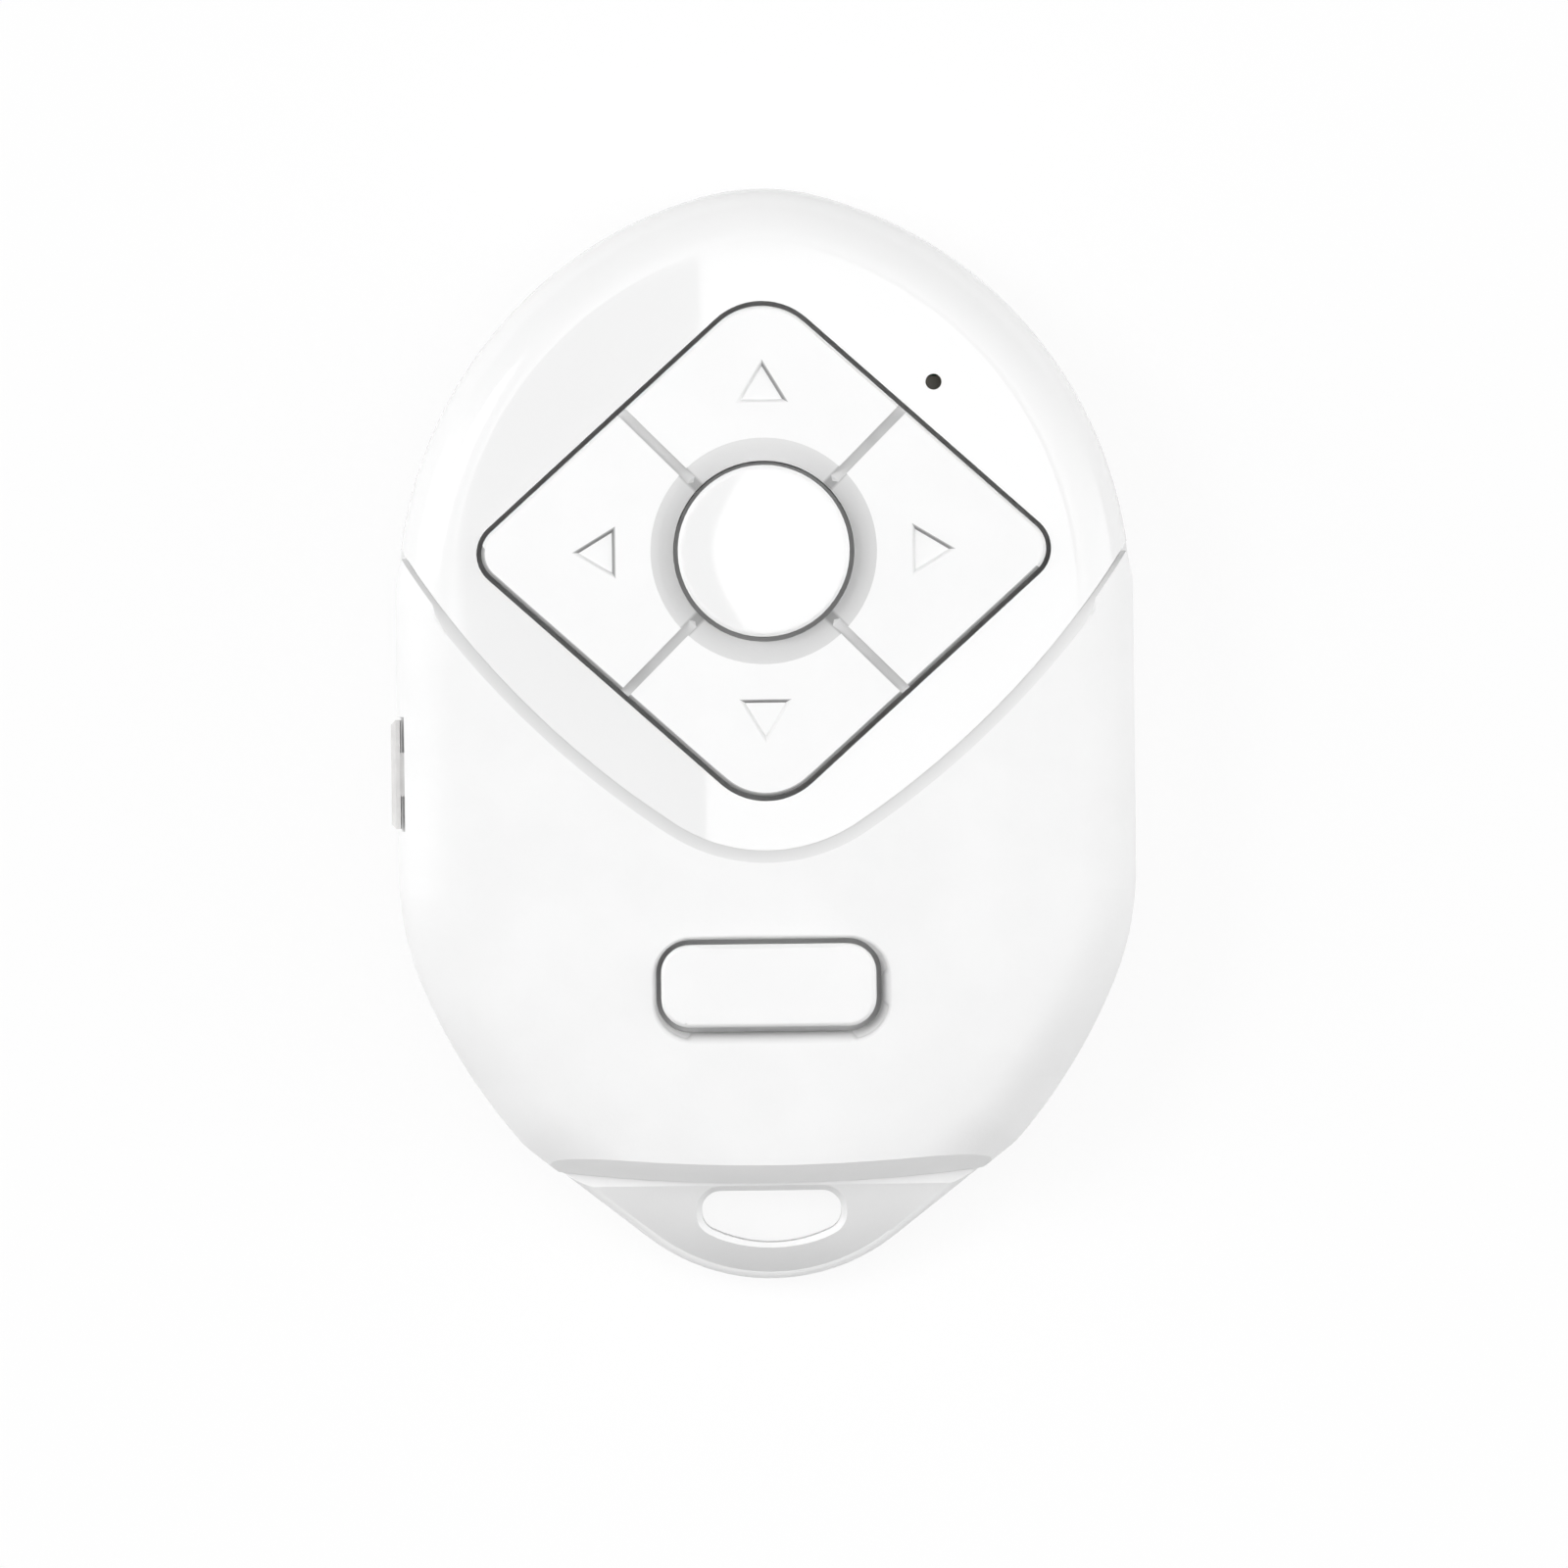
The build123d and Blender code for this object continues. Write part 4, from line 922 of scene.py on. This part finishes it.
paint_shade_on(pad_key, dish_painted_shade, in_dish)
paint_shade_on(pad_key, arrow_wall_painted_shade, on_arrow_wall)
paint_shade_on(pad_key, upper_arrow_wall_painted_shade, on_upper_wall)
paint_shade_on(pad_key, groove_painted_shade, in_groove)
polish_dome(pad_key, pad_rise * mm)
roll_dish(pad_key)
stand_for(pad_key, "direction_pad", "direction_pad")
lower_key = smooth_copy("lower_button", "lower_key", key_satin)
polish_dome(lower_key, 0.7 * mm)
stand_for(lower_key, "lower_button", "lower_button")

# Centre button: a polished, gently bulging cap in the middle of the pad's dish, moulded in the same
# white as the fascia. It stands on the plunger of its own switch.
button_gloss = plastic("button_gloss", white, (0.88, 0.89), (0.03, 0.04), 500, 60, 0.00002 * mm)
centre_key = smooth_copy("centre_button", "centre_key", button_gloss)
cap_low = 11.4
cap_edge = 4.45
cap_lean = 0.0133
cap_lean_reach = 2.95


# The cap is nearly flat in the middle and leans faster and faster towards its rounded edge
def bulge_cap(piece):
    mesh = piece.data
    shading = corner_shading(mesh)
    for face in mesh.polygons:
        if face.normal.z < 0.9 or face.center.z < cap_low * mm:
            continue
        for loop, corner in enumerate(face.vertices, face.loop_start):
            spot = mesh.vertices[corner].co / mm
            reach = math.hypot(spot.x, spot.y - pad_middle)
            lean = cap_lean * (reach / cap_lean_reach) ** 3
            if reach > cap_edge:
                lean += (reach - cap_edge) * 2.0
            if reach > 0:
                shading[loop] = lean_out(spot, reach, lean)
    mesh.normals_split_custom_set(shading.tolist())


bulge_cap(centre_key)
stand_for(centre_key, "centre_button", "centre_button")

# Side knob: the power switch's slider, in a light grey plastic with five ridges for the nail. Its
# stem runs through the case wall and holds the switch's lever.
knob_grey = plastic("knob_grey", (1, 0.99, 0.98), (0.66, 0.75), (0.4, 0.5), 5200, 700, 0.006 * mm)
slide_knob = smooth_copy("power_knob", "slide_knob", knob_grey)
stand_for(slide_knob, "power_knob", "power_knob")

# Floor, studio light and camera: a pale floor under a tent of soft light, which has a dimmer strip
# on the left and a small side lamp. The camera looks straight down, as in a catalogue picture.
floor_half = 1.5
floor_drop = 0.1 * mm
floor_mesh = bpy.data.meshes.new("floor")
work = bmesh.new()
bmesh.ops.create_grid(work, x_segments=8, y_segments=8, size=floor_half)
work.to_mesh(floor_mesh)
work.free()
floor = bpy.data.objects.new("floor", floor_mesh)
floor.location.z = -floor_drop
bpy.context.scene.collection.objects.link(floor)
floor_paint = bpy.data.materials.new("floor_paint")
floor_paint.use_nodes = True
nodes, links = floor_paint.node_tree.nodes, floor_paint.node_tree.links
paint = nodes["Principled BSDF"]
paint.inputs["Base Color"].default_value = (0.9, 0.9, 0.9, 1)
paint.inputs["Roughness"].default_value = 0.8
white_floor = nodes.new("ShaderNodeEmission")
white_floor.inputs["Strength"].default_value = 1.0
seen = nodes.new("ShaderNodeLightPath")
share = nodes.new("ShaderNodeMath")
share.operation = "MULTIPLY"
share.inputs[1].default_value = 0.85
mixed = nodes.new("ShaderNodeMixShader")
links.new(seen.outputs["Is Camera Ray"], share.inputs[0])
links.new(share.outputs[0], mixed.inputs[0])
links.new(paint.outputs[0], mixed.inputs[1])
links.new(white_floor.outputs[0], mixed.inputs[2])
links.new(mixed.outputs[0], nodes["Material Output"].inputs["Surface"])
floor_mesh.materials.append(floor_paint)

room = bpy.data.worlds.new("room")
bpy.context.scene.world = room
room.use_nodes = True
nodes, links = room.node_tree.nodes, room.node_tree.links
air = nodes["Background"]
air.inputs["Color"].default_value = (1, 1, 1, 1)
toward = nodes.new("ShaderNodeTexCoord")
split = nodes.new("ShaderNodeSeparateXYZ")
links.new(toward.outputs["Generated"], split.inputs[0])
sideways, lengthways = split.outputs["X"], split.outputs["Y"]


# Soft step of a direction: 1 beyond the edge, or before it where it falls
def step(source, edge, soft, falling=False):
    ramp = nodes.new("ShaderNodeMapRange")
    ramp.interpolation_type = "SMOOTHSTEP"
    ramp.inputs["From Min"].default_value = edge - soft
    ramp.inputs["From Max"].default_value = edge + soft
    ramp.inputs["To Min"].default_value = 1.0 if falling else 0.0
    ramp.inputs["To Max"].default_value = 0.0 if falling else 1.0
    links.new(source, ramp.inputs["Value"])
    return ramp.outputs["Result"]


# How far a direction lies from a given one
def away_from(direction):
    away = nodes.new("ShaderNodeVectorMath")
    away.operation = "DISTANCE"
    away.inputs[1].default_value = direction
    links.new(toward.outputs["Generated"], away.inputs[0])
    return away.outputs["Value"]


def product(first, *others):
    for other in others:
        first = reckon(room.node_tree, "MULTIPLY", first, other)
    return first


def total(first, *others):
    for other in others:
        first = reckon(room.node_tree, "ADD", first, other)
    return first


def rest_of(share):
    return reckon(room.node_tree, "SUBTRACT", 1.0, share)


# The round middle of the tent's roof, split by the edge of the dimmer strip on its left
roof_middle = (0.003, 0.008, 1)
roof_reach = 0.134
strip_edge = -0.0265
off_axis = away_from(roof_middle)
inside = step(off_axis, roof_reach, 0.005, falling=True)
outside = rest_of(inside)
to_left = step(sideways, strip_edge, 0.0008, falling=True)
to_right = rest_of(to_left)

# The tent is bright near its sides and ends softly above and below
tent = total(product(sideways, sideways, 1.1), 2.0)
tent = product(tent, step(lengthways, -0.24, 0.2), step(lengthways, 0.42, 0.28, falling=True))
slit = product(inside, to_left)
left_gap = product(step(sideways, -0.7, 0.15), step(sideways, -0.24, 0.04, falling=True))
right_gap = product(step(sideways, 0.24, 0.04), step(lengthways, 0.2, 0.12))
ring = product(outside, step(off_axis, 0.3, 0.05, falling=True))
right_ring = product(ring, to_right, step(lengthways, 0.0, 0.04))
for share, amount in ((slit, 0.95), (left_gap, 0.35), (right_gap, 0.25), (right_ring, 0.45)):
    tent = product(tent, rest_of(product(share, amount)))

# A lamp over the right half, a glow round the strip's outer edge and a lamp low on the left
side_lamp_way = Vector((-0.6, 0.25, 0.76)).normalized()
side_lamp_reach = 0.18
side_lamp_strength = 6.0
tent_share = 0.915
room_share = 0.11
lamp = product(to_right, step(sideways, 0.4, 0.15, falling=True))
lamp = product(lamp, step(lengthways, -0.35, 0.15), step(lengthways, 0.17, 0.15, falling=True))
lamp = product(lamp, rest_of(right_ring))
flank = product(step(off_axis, 0.18, 0.02, falling=True), outside, to_left)
flank = product(flank, step(lengthways, 0.15, 0.1, falling=True))
side_lamp = step(away_from(side_lamp_way), side_lamp_reach, 0.05, falling=True)
glow = total(tent, total(lamp, flank))
glow = total(glow, product(side_lamp, side_lamp_strength))
glow = total(product(glow, tent_share), room_share)
glow = product(glow, step(split.outputs["Z"], 0.0, 0.02))
links.new(glow, air.inputs["Strength"])

# The frame is as wide as the photograph's at the height of the pad, and turned as that is
frame_width = 85.88 * mm
frame_height = 10 * mm
frame_turn = math.radians(0.68)
lens = bpy.data.cameras.new("camera")
lens.lens = 400
lens.sensor_width = 36
lens.clip_end = 10
camera = bpy.data.objects.new("camera", lens)
distance = frame_width * lens.lens / lens.sensor_width
camera.location = (0.96 * mm, -2.723 * mm, frame_height + distance)
camera.rotation_euler = (0, 0, -frame_turn)
bpy.context.scene.collection.objects.link(camera)
bpy.context.scene.camera = camera
bpy.context.scene.view_settings.view_transform = "Standard"
